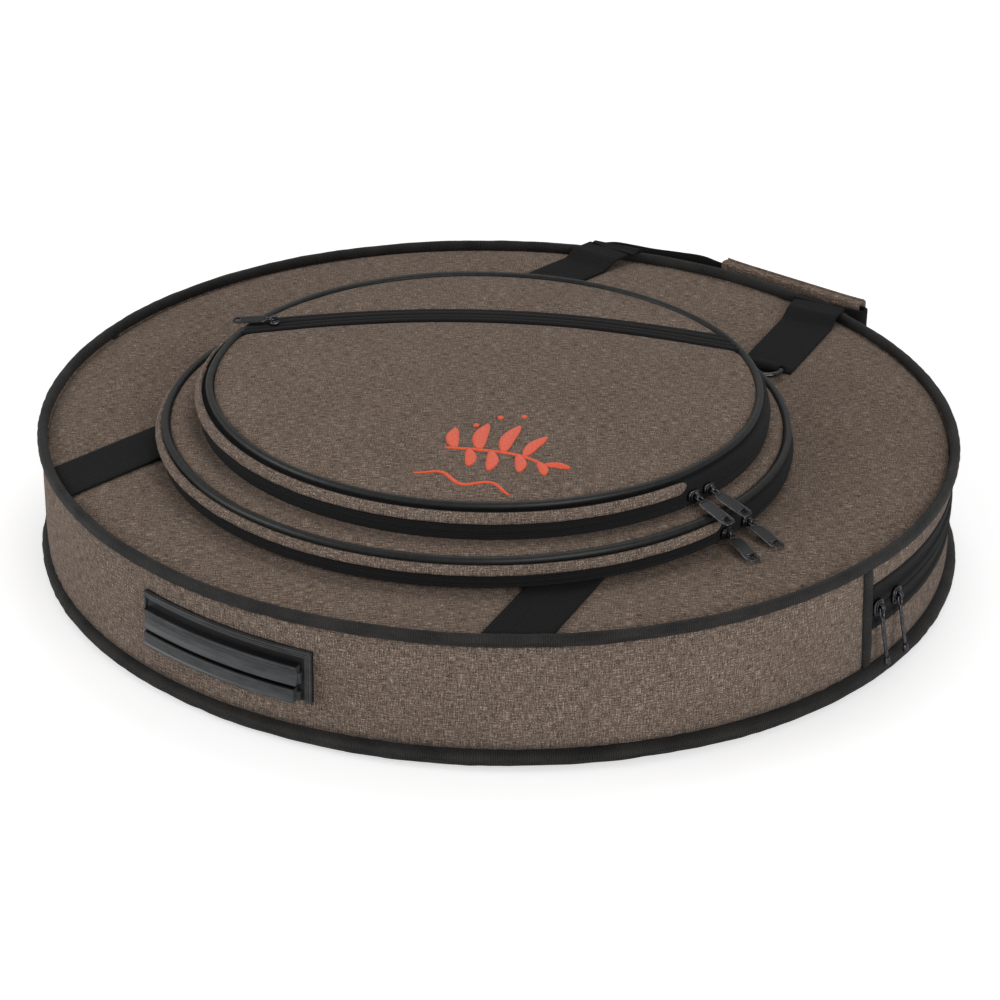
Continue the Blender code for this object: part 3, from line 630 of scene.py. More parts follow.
def stitches(shape, path, out, length=0.0032, pause=0.0014, width=0.0008):
    """A row of stitches in the second material; out is the way away from the cloth."""
    path = np.asarray(path, float)
    out = np.broadcast_to(np.asarray(out, float), path.shape)
    way = lengths(path)
    count = max(1, int(way[-1] / (length + pause)))
    spare = way[-1] - count * (length + pause) + pause
    ends = np.array([-1.0, -0.8, 0.0, 0.8, 1.0])
    girth = np.array([0.25, 0.8, 1.0, 0.8, 0.25])
    ring = np.stack([np.cos(turns(6)), np.sin(turns(6))], -1)
    for n in range(count):
        at = spare / 2 + n * (length + pause) + length / 2 + ends * length / 2
        points = np.stack([np.interp(at, way, path[:, k]) for k in range(3)], -1)
        up = np.stack([np.interp(at, way, out[:, k]) for k in range(3)], -1)
        side = unit(np.cross(up, unit(points[-1] - points[0])))
        sink = 0.15 * width - 0.45 * width * np.abs(ends[:, None]) ** 3
        rows = (points + up * sink)[:, None] + girth[:, None, None] * width / 2 * (
            side[:, None] * ring[None, :, :1] + up[:, None] * ring[None, :, 1:]
        )
        shape.tube(rows, at, np.linspace(0, width * math.pi, 7), 1)


def settle(piece, body, slot, *nodes):
    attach(piece, body)
    if nodes:
        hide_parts(*nodes)


def bend(piece, slot, *nodes):
    """A piece that crosses the fold where the mouth opens: its place is baked into its points and
    the frame's nodes are hidden.
    """
    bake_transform(piece)
    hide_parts(*nodes)


# Panels and bindings

front_reach = 0.003
pulls_place = [0.226, -0.020]
top_roll = (0.0033, 0.0040)
tight_angle = math.radians(-160.0)
tight_depth = 0.003


def cushion(name, x, y, levels, angle, held, cap, looks=(0, 1), cover=HEATHER, both=False):
    """A swollen pad. The chosen points of its top are held, and those of its bottom, of which
    all are held unless both is set."""
    shape = Shape()
    upper, lower = pad(shape, x, y, *levels, weave_at(x, y, angle), looks)
    piece = shape.make(name, cover, LINING)
    puff(piece, np.concatenate([upper[held], lower[held] if both else lower.ravel()]), cap)
    return piece


def strap_x(y, side):
    along = (strap_handle_y - y) / (strap_handle_y - strap_kick_y)
    return side * (strap_handle_x + along * (strap_kick_x - strap_handle_x))


def front_panel():
    radius = panel_radius + front_reach
    soft, fall, pocket_foot, ease, pulls_reach, rise = 0.014, 0.0022, 0.212, 0.02, 0.045, 0.0006
    x, y = disc_grid(radius, 96)
    rim = rim_share(x, y, radius, soft)
    free = share((away(x, y, centre_one) - pocket_foot) / ease) * (1 - rim)
    pulls = away(x, y, centre_one + pulls_place) / pulls_reach
    free = free * (0.25 + 0.75 * share(pulls - 0.4))
    for side in (-1, 1):
        free = free * share((np.abs(x - strap_x(y, side)) - strap_width / 2) / ease)
    top = front_top - fall * droop(rim) + free * (rise + rumple(x, y, 11, 0.06, 0.0005))
    levels = (top, low("front_padding").z)
    piece = cushion("front_panel", x, y, levels, cloth_angle, free < 0.02, 0.0030)
    bend(piece, "heather_fabric", "front_cover", "front_padding", "flap_cover", "flap_padding")


def base_panel():
    soft, rise = 0.010, 0.0025
    x, y = disc_grid(panel_radius, 60)
    rim = rim_share(x, y, panel_radius, soft)
    levels = (high("back_padding").z, rise * droop(rim))
    piece = cushion("base_panel", x, y, levels, 0.0, rim > 0.5, 0.0025, looks=(1, 0))
    settle(piece, "case", "heather_fabric", "back_cover", "back_padding")


def divider_pad():
    inset, soft, fall = 0.0008, 0.008, 0.0009
    radius = high("divider").x - inset
    x, y = disc_grid(radius, 56)
    rim = rim_share(x, y, radius, soft)
    ease = fall * droop(rim)
    wave = rumple(x, y, 5, 0.09, 0.0003)
    levels = (high("divider").z - ease + wave * (1 - rim), low("divider").z + ease)
    piece = cushion(
        "divider_pad", x, y, levels, 0.0, rim > 0.5, 0.0012, cover=LINING, both=True
    )
    settle(piece, "divider_leaf", "dark_lining", "divider")


def bound_edge(name, outer, level, halves, seed):
    """Tape rolled over the rim of a panel, with small puckers."""
    angles = turns(720)
    section = round_section(*halves, 2.3, 18)
    swell = 1 + ripple(angles, seed, range(20, 90, 7), 0.03)
    swell = swell + ripple(angles, seed + 1, (3, 5, 8), 0.02)
    rows = np.array([outer - halves[0], level]) + section[None] * swell[:, None, None]
    rows[..., 0] += ripple(angles, seed + 2, range(60, 200, 11), 0.00016)[:, None]
    rows[..., 1] += ripple(angles, seed + 3, (4, 7, 11, 17, 23), 0.00022)[:, None]
    if outer > bag_radius:
        rows[..., 0] -= tight_depth * share(np.cos(angles - tight_angle))[:, None]
    shape = Shape()
    turned(shape, rows, angles, closed=True)
    return shape.make(name, TRIM)


def bindings():
    piece = bound_edge("top_binding", bag_radius, bag_height - top_roll[1], top_roll, 21)
    bend(piece, "black_trim", "upper_binding", "flap_binding")
    half = (bag_height - low("upper_binding").z) / 2
    halves = ((lower_radius - bag_radius) / 2 + half, half)
    level = low("lower_binding").z + half
    piece = bound_edge("bottom_binding", lower_radius, level, halves, 31)
    settle(piece, "case", "black_trim", "lower_binding")


# Side wall and main zip

wall_reach = 0.002
lean_reach = 0.14
lean_turn = 0.020
half_binding = 0.0045 / wall_radius
wall_start = math.pi - zip_end_angle - 2 * math.pi + half_binding
wall_end = zip_end_angle - half_binding
zip_start = zip_end_angle + half_binding
zip_angles = np.linspace(zip_start, math.pi - zip_start, 420)


def lean(shape):
    """Draws the foot of the wall a little along it where the main zip ends on the right."""
    points = np.array(shape.points)
    near = share(1 - np.abs(np.arctan2(points[:, 1], points[:, 0]) - zip_end_angle) / lean_reach)
    fall = share((wall_high - points[:, 2]) / (wall_high - wall_low))
    turn = lean_turn * near ** 2 * (3 - 2 * near) * fall
    c, s = np.cos(turn), np.sin(turn)
    x, y = points[:, 0] * c - points[:, 1] * s, points[:, 0] * s + points[:, 1] * c
    shape.points = np.column_stack([x, y, points[:, 2]]).tolist()


def wall_section(outer, inner, z):
    """Sections with a shaped outer face and a plain inner one, at the heights z."""
    z = np.broadcast_to(z, outer.shape)
    return np.stack([
        np.concatenate([outer, np.full_like(outer, inner)], 1),
        np.concatenate([z, z[:, ::-1]], 1),
    ], -1)


def wall_piece(name, section, angles, material):
    shape = Shape()
    turned(shape, section, angles)
    lean(shape)
    return shape.make(name, material)


def side_wall():
    rows, swell, depth, plate_reach, plate_ease, end_ease = 14, 0.0012, 0.0038, 0.066, 0.03, 0.08
    angles = np.linspace(wall_start, wall_end, 420)
    plate = share((np.abs(angles + math.pi / 2) * wall_radius - plate_reach) / plate_ease)
    ease = share(np.minimum(angles - wall_start, wall_end - angles) / end_ease)
    a, s = np.meshgrid(angles, np.linspace(-1, 1, rows), indexing="ij")
    bulge = swell * (1 - s ** 2) * (plate * ease)[:, None]
    folds = rumple(a * wall_radius, s * 0.03, 7, 0.05, 0.00035)
    bulge = bulge + folds * (1 - s ** 4) * plate[:, None]
    pucker = ripple(angles, 71, range(70, 190, 13), 0.00022) * ease
    bulge = bulge + pucker[:, None] * share(1.3 - 2.2 * (1 - np.abs(s))) * plate[:, None]
    z = np.linspace(wall_low, wall_high + wall_reach, rows)
    face = wall_radius - 0.0002
    section = wall_section(face + bulge, face - depth, z)
    piece = wall_piece("side_panel", section, angles, HEATHER_SIDE)
    settle(piece, "case", "heather_fabric", "gusset_cover")


def fabric_strip(name, node, reach):
    """One of the heather strips above and below the main zip."""
    z = np.linspace(low(node).z, high(node).z + reach, 7)
    a, s = np.meshgrid(zip_angles, np.linspace(-1, 1, 7), indexing="ij")
    bulge = 0.0007 * (1 - s ** 2) + rumple(a * wall_radius, s * 0.01, 17, 0.04, 0.00025)
    section = wall_section(wall_radius + bulge * (1 - s ** 4), wall_radius - 0.0025, z)
    return wall_piece(name, section, zip_angles, HEATHER_SIDE)


def main_tape(name, way):
    """One tape of the main zip with its half of the coil: a raised band, a dip and the chain."""
    reach = high("main_zip_tape_flap").z - zip_split
    section = [
        (-0.0018, reach), (0.0003, reach), (0.0007, reach - 0.0010), (0.0007, reach - 0.0042),
        (0.0, reach - 0.0048), (-0.0006, reach - 0.0056), (-0.0005, 0.0056), (-0.0002, 0.0052),
        (0.0007, 0.0046), (0.0011, 0.0030), (0.0010, 0.0010), (0.0005, 0.0002),
        (-0.0018, 0.0002),
    ]
    section = [(wall_radius + out, zip_split + way * up) for out, up in section]
    return wall_piece(name, section, zip_angles, TAPE)


def main_zip():
    parts = ("left", "right", "flap")
    strip = fabric_strip("zip_strip_lower", "gusset_lower_strip", 0.0)
    settle(strip, "case", "heather_fabric", "gusset_lower_strip")
    strip = fabric_strip("zip_strip_upper", "gusset_upper_flap", wall_reach)
    bend(strip, "heather_fabric", *(f"gusset_upper_{part}" for part in parts))
    settle(main_tape("zip_tape_lower", -1), "case", "zip_tape", "main_zip_tape_lower")
    bend(main_tape("zip_tape_upper", 1), "zip_tape", *(f"main_zip_tape_{part}" for part in parts))


def zip_ends():
    """Bound edges that stand up the side wall at both ends of the main zip."""
    for word, angle in (("right", zip_end_angle), ("left", math.pi - zip_end_angle)):
        z = np.linspace(wall_low, wall_high + wall_reach, 40)
        along = np.linspace(-1, 1, 40)
        swell = 1 + 0.05 * np.sin(along * 9) - 0.25 * np.abs(along) ** 12
        rows = round_section(0.0046, 0.0030, 2.6, 16)[None] * swell[:, None, None]
        c, s = math.cos(angle), math.sin(angle)
        path = np.array([c, s, 0.0]) * (wall_radius - 0.0008) + np.stack([0 * z, 0 * z, z], -1)
        shape = Shape()
        sweep(shape, path, (s, -c, 0.0), rows)
        lean(shape)
        piece = shape.make(f"zip_end_{word}", TRIM)
        settle(piece, "case", "black_trim", f"gusset_binding_{word}")


plate_middle = -math.pi / 2 + 0.003 / wall_radius
plate_tilt = 0.026
plate_half = 0.062
runner_left, runner_right, lower_right = -0.0580, 0.0540, 0.0522
runner_out = 0.0079


def arc_bar(shape, section, start, end, look=0):
    """A closed section of (out, height) carried along the side wall, by distances along it."""
    along = np.linspace(start, end, 2 + int((end - start) / 0.004))
    rows = np.asarray(section) + np.array([wall_radius + gap, low("rub_plate").z])
    rows = np.array([rows - [0.0, plate_tilt * step] for step in along])
    turned(shape, rows, plate_middle + along / wall_radius, look=look)


def bar_section(bottom, top, out, edge=0.0005):
    return [
        (0.0, bottom), (out - edge, bottom), (out, bottom + edge), (out, top - edge),
        (out - edge, top), (0.0, top),
    ]


def runner_section(bottom, top, hollow):
    """A long runner whose outer face is hollowed between two lips."""
    middle, lip, edge = (bottom + top) / 2, 0.0012, 0.0005
    half_way = runner_out - hollow * 0.7
    return [
        (0.0, bottom), (runner_out - 0.0006, bottom), (runner_out, bottom + edge),
        (runner_out, bottom + lip), (half_way, (bottom + middle) / 2),
        (runner_out - hollow, middle), (half_way, (top + middle) / 2), (runner_out, top - lip),
        (runner_out, top - edge), (runner_out - 0.0006, top), (0.0, top),
    ]


def rub_plate():
    """Moulded plate: two hollowed runners, and a border of fine steps above and at the right. Its
    backing and the thin strips along the runners' tops are near-black, painted shade in the slots
    between the runners.
    """
    tall = high("rub_plate").z - low("rub_plate").z
    half = plate_half
    shape = Shape()
    # The backing shows only in the slots and between the steps; its near-black copy of the plastic
    # is painted shade.
    arc_bar(shape, bar_section(0.0, tall, 0.0019), -half, half, 1)
    for bottom, out in ((0.0293, 0.0026), (0.0311, 0.0034), (0.0330, 0.0042)):
        arc_bar(shape, bar_section(bottom, bottom + 0.0010, out, 0.0003), -half, half)
    for start, out in ((-0.0046, 0.0026), (-0.0030, 0.0034), (-0.0013, 0.0042)):
        arc_bar(shape, bar_section(0.0, tall, out, 0.0003), half + start, half + start + 0.0011)
    arc_bar(shape, bar_section(0.0, tall, 0.0030, 0.0003), -half, -half + 0.0010)
    arc_bar(shape, runner_section(0.0120, 0.0247, 0.0026), runner_left, runner_right)
    arc_bar(shape, runner_section(0.0, 0.0090, 0.0010), runner_left, lower_right)
    # Thin near-black strips along the runners' tops: painted shade in the slots.
    for bottom, end in ((0.0245, runner_right), (0.0088, lower_right)):
        arc_bar(shape, bar_section(bottom, bottom + 0.0004, 0.0068, 0.0001), runner_left, end, 1)
    arc_bar(shape, bar_section(0.0126, 0.0200, 0.0050), runner_right, runner_right + 0.0016)
    arc_bar(shape, bar_section(0.0006, 0.0066, 0.0046), lower_right, runner_right + 0.0010)
    piece = shape.make("wear_plate", PLASTIC, PLASTIC_PAINTED_SHADE, smooth=False)
    settle(piece, "case", "rub_plastic", "rub_plate")


# Webbing

def straps():
    marks = (strap_kick_y, fold_y - 0.014, fold_y + 0.014, climb_start - 0.004,
             climb_end + 0.004, handle_seam_y)
    steps = np.concatenate([[strap_kick_y]] + [
        np.linspace(a, b, n)[1:] for a, b, n in zip(marks, marks[1:], (60, 24, 12, 20, 10))
    ])
    t = share((steps - climb_start) / (climb_end - climb_start))
    level = strap_level + (crossing_level - strap_level) * t * t * (3 - 2 * t)
    straight = share((steps - climb_start) / 0.02)[:, None]
    slant = math.atan2(strap_kick_x - strap_handle_x, strap_handle_y - strap_kick_y)
    c, s = math.cos(slant), math.sin(slant)
    for side, word in ((-1, "left"), (1, "right")):
        path = np.stack([strap_x(steps, side), steps, level], -1)
        ways = (1 - straight) * [c, side * s, 0.0] + straight * [1.0, 0.0, 0.0]
        shape = Shape()
        for part in (steps < low("ring_right").y - 0.020, steps > ring_y + 0.002):
            sweep(shape, path[part], ways[part], band_section(strap_width, strap_thick))
        points = np.array(shape.points)
        way = np.array([side * s, -c])
        foot = np.array([side * strap_kick_x, strap_kick_y])
        flat = points[:, :2] - foot
        beside = foot + flat - (flat @ way)[:, None] * way
        reach = beside @ way
        rim = panel_radius + front_reach + 0.0008
        slide = -reach + np.sqrt(reach ** 2 - (beside ** 2).sum(1) + rim ** 2)
        points[:, :2] += (share(1 + (flat @ way) / 0.06) * slide)[:, None] * way
        shape.points = points.tolist()
        piece = shape.make(f"webbing_{word}", WEBBING)
        bend(piece, "black_webbing", f"strap_{word}", f"strap_end_{word}")
        ring_tab(word, side)


def ring_tab(word, side):
    """Webbing folded round the ring's bar and sewn down to the strap."""
    x = strap_x(ring_y, side)
    level = level_of(f"ring_{word}")
    bend_radius = ring_wire / 2 + gap / 2 + tab_thick / 2
    seat = strap_level + strap_thick / 2 + tab_thick / 2
    places = [(1.0, seat + tab_thick), (0.75, seat + tab_thick * 1.2),
              (0.3, level + bend_radius * 0.95)]
    path = [(x, ring_y + tab_length * part, z) for part, z in places]
    path += [(x, ring_y + bend_radius * math.cos(a), level + bend_radius * math.sin(a))
             for a in np.linspace(math.pi * 0.5, math.pi * 1.5, 13)]
    path += [(x, ring_y + tab_length * 0.4, seat), (x, ring_y + tab_length, seat)]
    shape = Shape()
    sweep(shape, smooth_line(path, 3), (1.0, 0.0, 0.0), band_section(tab_width, tab_thick, 6))
    for row, rise in ((0.62, 1.9), (0.82, 1.65)):
        ends = [(x + end * tab_width * 0.45, ring_y + tab_length * row, seat + tab_thick * rise)
                for end in (-1, 1)]
        stitches(shape, smooth_line(ends, 8), (0, 0, 1))
    settle(shape.make(f"ring_tab_{word}", WEBBING, BLACK_THREAD), "case", "black_webbing")


def rings():
    half = radius_of("ring_right") - ring_wire / 2
    depth = ring_y - low("ring_right").y - ring_wire / 2
    for side, word in ((-1, "left"), (1, "right")):
        x = strap_x(ring_y, side)
        z = level_of(f"ring_{word}")
        path = [(x + half * math.cos(a), ring_y - depth * max(math.sin(a), 0) ** 0.8, z)
                for a in np.linspace(0, math.pi, 31)]
        path += [(x + half * u, ring_y, z) for u in np.linspace(-1, 1, 9)[1:-1]]
        shape = Shape()
        wire = round_section(ring_wire / 2, ring_wire / 2, 2, 12)
        sweep(shape, path, (0, 0, 1), wire, closed=True)
        piece = shape.make(f"d_ring_{word}", METAL)
        settle(piece, f"{word}_ring", "dark_metal", f"ring_{word}")


# Carry handle, its wrap and the handle on the back

handle_level = bag_height - 0.0233
wrap_left = np.array([-0.0130, bag_radius + 0.017])
wrap_right = np.array([0.1092, bag_radius + 0.0056])
handle_return_y = bag_radius - 0.003
handle_turn_x = wrap_right[0] + 0.0015
handle_end_x = strap_handle_x * 0.98
wrap_thick = 0.003
wrap_lower = low("handle_wrap").z
# Shares of the way from the left strap to the wrap (along, out, down), and the webbing's tilt
loop_shares = (
    ((0.000, 0.054, 0.000), (0.99, 0.12, 0.0)),
    ((0.046, 0.248, 0.230), (0.98, 0.10, -0.17)),
    ((0.132, 0.381, 0.560), (0.79, -0.06, -0.61)),
    ((0.308, 0.587, 0.860), (0.42, -0.18, -0.89)),
    ((0.552, 0.841, 0.940), (0.21, -0.13, -0.97)),
    ((0.783, 0.984, 0.930), (0.05, -0.03, -1.0)),
)


def handle_stations():
    """The handle's middle line and the direction across its webbing, as in the frame."""
    x0, y0, top = -handle_end_x, handle_axis_y + gap, crossing_level
    a, b = (*wrap_left, handle_level), (*wrap_right, handle_level)
    flat, upright = (1, 0, 0), (0, 0, -1)
    stations = [((x0, handle_seam_y, top), flat), ((x0, y0 - 0.002, top), flat)]
    for (along, out, fall), tilt in loop_shares:
        place = (x0 + along * (a[0] - x0), y0 + out * (a[1] - y0))
        stations.append(((*place, top + fall * (handle_level - top)), tilt))
    places = [tuple(p + part * (q - p) for p, q in zip(a, b)) for part in (0.0, 0.33, 0.67, 1.0)]
    radius = (wrap_right[1] - handle_return_y) / 2
    for n in range(5):
        angle = math.pi / 2 - math.pi * n / 4
        y = handle_return_y + radius + radius * math.sin(angle)
        places.append((handle_turn_x + radius * math.cos(angle), y, handle_level))
    ends = [handle_turn_x - step for step in (0.004, 0.012, 0.024)]
    ends.append(handle_end_x - strap_width / 2)
    places += [(x, handle_return_y, handle_level) for x in ends]
    return stations + [(place, upright) for place in places]


def handle_drop():
    """The strap's end that drops behind the wrap, where the returning webbing is sewn to it."""
    rim = math.sqrt(bag_radius ** 2 - handle_end_x ** 2)
    rest = handle_return_y - strap_thick * 1.1
    return smooth_line([(handle_end_x, y, z) for y, z in (
        (handle_seam_y, crossing_level), (handle_axis_y, crossing_level),
        (rim - 0.003, crossing_level - 0.0003), (rim + 0.0012, crossing_level - 0.0030),
        (rim + 0.0032, crossing_level - 0.0080), (rest, handle_level + 0.002),
        (rest, handle_level - 0.017),
    )])


def front_handle():
    line = smooth_line([[*place, *tilt] for place, tilt in handle_stations()])
    shape = Shape()
    webbing = band_section(strap_width, strap_thick)
    sweep(shape, line[:, :3], line[:, 3:], webbing, skew=True)
    loop = len(shape.points)
    sweep(shape, handle_drop(), (-1.0, 0.0, 0.0), webbing)
    points = np.array(shape.points)
    over = np.clip(np.hypot(points[:, 0], points[:, 1]) - bag_radius + 0.002, 0, 0.006)
    over[:loop] = 0
    points[:, 2] -= 0.75 * over * share((points[:, 2] - crossing_level + 0.007) / 0.004)
    shape.points = points.tolist()
    piece = shape.make("handle_webbing", WEBBING)
    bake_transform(piece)
    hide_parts("handle_front")


def wrap_piece(name, section, body, node):
    a, b = np.array([*wrap_left, 0.0]), np.array([*wrap_right, 0.0])
    along = unit(b - a)
    out = np.array([-along[1], along[0], 0.0])
    steps = 40
    path = np.linspace(a + along * wrap_thick, b, steps)
    section = smooth_line([*section, section[0]], 4)[:-1]
    rows = np.array([section] * steps)
    flare = 0.0012 * np.abs(np.linspace(-1, 1, steps)) ** 8
    rows[..., 0] += flare[:, None] * np.sign(section[:, 0])
    points = path[:, None] + out * rows[..., :1] + np.array([0, 0, 1.0]) * rows[..., 1:]
    shape = Shape()
    u = lengths(path)
    shape.tube(points, u, lengths(section, True))
    back = body == "front_handle"
    face = section[:, 0] < -0.001 if back else section[:, 0] > 0.003
    chosen = [n for n in range(len(section)) if section[n, 1] > wrap_lower + 0.002 and face[n]]
    chosen.sort(key=lambda n: section[n, 1])
    way = out * (-1 if back else 1)
    for inset in (0.006, 0.010):
        for at in (inset, u[-1] - inset):
            row = int(round(at / u[-1] * (steps - 1)))
            stitches(shape, points[row][chosen] + way * 0.0002, way)
    settle(shape.make(name, HEATHER, BROWN_THREAD), body, "heather_fabric", node)


def wraps():
    inner = strap_thick / 2 + gap
    outer = inner + wrap_thick
    crest = handle_level + strap_width / 2 + gap
    ridge = crest + wrap_thick
    soft = wrap_thick / 3
    base = wrap_lower
    body = [
        (-outer, base), (-inner, base), (-inner, base + 0.02), (-inner, crest - 0.006),
        (-inner + 0.0004, crest), (inner - 0.0004, crest), (inner, ridge - soft),
        (inner - soft, ridge), (-outer + 2 * soft, ridge), (-outer, ridge - 2 * soft),
        (-outer, crest - 0.008), (-outer - 0.0004, base + 0.018),
    ]
    wrap_piece("wrap_body", body, "front_handle", "handle_wrap")
    shut = inner + gap
    face = shut + wrap_thick
    leaf = [
        (shut, base), (face, base), (face + 0.0004, base + 0.02), (face, ridge - 0.01),
        (face, ridge - 2 * soft), (face - 2 * soft, ridge), (shut, ridge),
        (shut, ridge - 0.012), (shut, base + 0.014),
    ]
    wrap_piece("wrap_leaf", leaf, "wrap_flap", "handle_wrap_flap")


def back_handle():
    """Webbing loop that lies flat on the floor beyond the bag, its ends under the rim."""
    start, far = low("handle_back").y, high("handle_back").y
    wide = high("handle_back").x
    half = strap_width / 2
    x, y = wide - half, far - half
    turn = half + 0.0008
    right = [(x, start - 0.001), (x, (start + y - turn) / 2)]
    right += [(x - turn + turn * math.cos(a), y - turn + turn * math.sin(a))
              for a in np.linspace(0, math.pi / 2, 9)]
    bar = [(px, y) for px in np.linspace(x - turn, turn - x, 12)[1:-1]]
    line = smooth_line(right + bar + [(-px, py) for px, py in reversed(right)], 3)
    path = np.column_stack([line, np.full(len(line), strap_thick / 2)])
    across = np.cross(unit(np.gradient(path, axis=0)), (0, 0, 1.0))
    shape = Shape()
    sweep(shape, path, across, band_section(strap_width, strap_thick, 8))
    points = np.array(shape.points)
    near = wide - strap_width
    tucked = np.sqrt(near ** 2 + start ** 2 - np.maximum(points[:, 0] ** 2, near ** 2))
    points[:, 1] += share((y - turn - points[:, 1]) / (y - turn - start)) * (tucked - start)
    shape.points = points.tolist()
    piece = shape.make("back_handle_webbing", WEBBING)
    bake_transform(piece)
    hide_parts("handle_back")


# Pockets on the front

def zip_coil(tape_radius, split, way):
    """Half of a pocket's coil: (radius, height) from its foot on the tape to the split."""
    chain = tape_radius + 0.001
    return [(tape_radius + (0.0001 if way < 0 else 0), split + way * 0.0024),
            (chain - 0.0002, split + way * 0.0019), (chain, split + way * 0.001),
            (chain - 0.0003, split + way * 0.0001)]


def pocket(word, centre, lower_body, body, seed, flap_ends):
    def ring(name, rows, material, on, slot, node):
        shape = Shape()
        turned(shape, rows, angles, centre, closed=True)
        settle(shape.make(name, material), on, slot, node)

    lower_node, upper_node = (f"pocket_{word}_tape_{part}" for part in ("lower", "upper"))
    piping_node = f"pocket_{word}_piping"
    tape_radius = radius_of(upper_node) - 0.001
    inner = tape_radius - 0.0015
    base = low(lower_node).z
    split = split_of(lower_node, upper_node)
    piping_z = level_of(piping_node)
    girth = (high(piping_node).z - low(piping_node).z) / 2 / math.sin(math.pi / 3)
    piping_radius = radius_of(piping_node) - girth
    angles = turns(480)
    lower = [(inner, base), (tape_radius, base), *zip_coil(tape_radius, split, -1),
             (inner, split - 0.0001)]
    ring(f"zip_{word}_lower", lower, TAPE, lower_body, "zip_tape", lower_node)
    top = piping_z - girth
    lip = piping_radius - girth / 2
    upper = [
        (inner, split + 0.0001), *zip_coil(tape_radius, split, 1)[::-1],
        (tape_radius - 0.0002, split + 0.006), (tape_radius - 0.001, top - 0.0012),
        (piping_radius, top), (lip, top), (lip, top - 0.0015), (inner, top - 0.0015),
    ]
    ring(f"zip_{word}_upper", upper, TAPE, body, "zip_tape", upper_node)
    storm_flap(word, centre, body, tape_radius, top, flap_ends, seed)
    section = round_section(girth, girth, 2.0, 14) + [piping_radius, piping_z]
    rows = np.array([section] * len(angles))
    rows[..., 0] += ripple(angles, seed, (3, 5, 9, 14), 0.0003)[:, None]
    rows[..., 1] += ripple(angles, seed + 4, (4, 7, 13), 0.0002)[:, None]
    ring(f"piping_{word}", rows, PIPING, body, "black_trim", piping_node)
    return piping_radius - girth


def storm_flap(word, centre, body, near, top, ends, seed):
    """Plump folded strip of fabric that covers the upper half of a pocket's zip."""
    node = f"pocket_{word}_storm_flap"
    base = low(node).z
    far = near + 0.003
    start, end = ends
    line = np.linspace(start, end, 360)
    tall = top - base
    section = smooth_line([
        (near + 0.0002, top - 0.0002), (near - 0.0014, top + 0.0006), (near + 0.0006, top + 0.0010),
        (far - 0.0008, top - 0.18 * tall), (far + 0.0004, base + 0.42 * tall),
        (far + 0.0001, base + 0.10 * tall), (far - 0.0012, base - 0.0002),
        (near + 0.0008, base + 0.0006), (near + 0.0006, base + 0.3 * tall),
        (near + 0.0002, top - 0.0002),
    ], 3)[:-1]
    rows = np.array([section] * len(line))
    inset = np.minimum(line - start, end - line) * near
    close = np.sqrt(np.clip(1 - (1 - share(inset / 0.010)) ** 2, 0.03, 1))[:, None]
    rows[..., 1] = top + (rows[..., 1] - top) * close
    rows[..., 0] = near + (rows[..., 0] - near) * (0.4 + 0.6 * close)
    puffed = ripple(line, seed, range(11, 70, 9), 0.00022)
    rows[..., 0] += puffed[:, None] * share((top - section[:, 1]) / tall)
    shape = Shape()
    turned(shape, rows, line, centre)
    for inset in (0.0050, 0.0078):
        angle = end - inset / near
        row = rows[int(np.argmin(np.abs(line - angle)))][6:17] + [0.0002, 0.0]
        ways = np.array([math.cos(angle), math.sin(angle)])
        path = np.column_stack([centre + row[:, :1] * ways, row[:, 1]])
        stitches(shape, path, (*ways, 0.3), 0.0022, 0.0008, 0.0007)
    piece = shape.make(f"storm_flap_{word}", HEATHER_SIDE, BROWN_THREAD)
    settle(piece, body, "heather_fabric", node)


def pocket_one_panel(radius):
    """Top of the low pocket. The second pocket stands on all but its rim."""
    bottom, top = low("pocket_one_top").z, high("pocket_one_top").z
    soft, fall, second_foot, ease, rise = 0.006, 0.0012, 0.187, 0.004, 0.0004
    x, y = disc_grid(radius, 72, centre_one)
    rim = rim_share(x, y, radius, soft, centre_one)
    free = share((away(x, y, centre_two) - second_foot) / ease) * (1 - rim)
    levels = (top - fall * droop(rim) + rise * free, bottom)
    piece = cushion("pocket_one_panel", x, y, levels, cloth_angle, free < 0.05, 0.0012)
    settle(piece, "pocket_one_lid", "heather_fabric", "pocket_one_top")


# Slip pocket on the top, its zip bowed across the round panel

slip_offset = 0.094095
slip_bow_radius = 0.568
slip_tape_half = 0.0105
slip_out = np.array([math.cos(pocket_hinge_angle), math.sin(pocket_hinge_angle)])
slip_along = np.array([slip_out[1], -slip_out[0]])
bow_back = slip_bow_radius - slip_offset
slip_centre = centre_two - slip_out * bow_back
dome_height = 0.0065


def dome(x, y, radius):
    """Rise of the swollen top over its rim."""
    square = (x - centre_two[0]) ** 2 + (y - centre_two[1]) ** 2
    return dome_height * share(1 - square / radius ** 2) ** 1.5


def bow_line(radius, within, count):
    """Points along the slip zip's curve at one radius, from its left end to its right end."""
    end = math.acos((radius ** 2 + bow_back ** 2 - within ** 2) / (2 * radius * bow_back))
    a = np.linspace(-end, end, count)[:, None]
    return slip_centre + radius * (slip_out * np.cos(a) + slip_along * np.sin(a))


def rim_line(start, end, radius, count, by_far_side):
    """Points round the pocket's rim from one place to another."""
    a, b = (math.atan2(*(place - centre_two)[::-1]) for place in (start, end))
    way = -1 if by_far_side else 1
    while (b - a) * way < 0:
        b += way * 2 * math.pi
    line = np.linspace(a, b, count)[:, None]
    return centre_two + radius * np.hstack([np.cos(line), np.sin(line)])


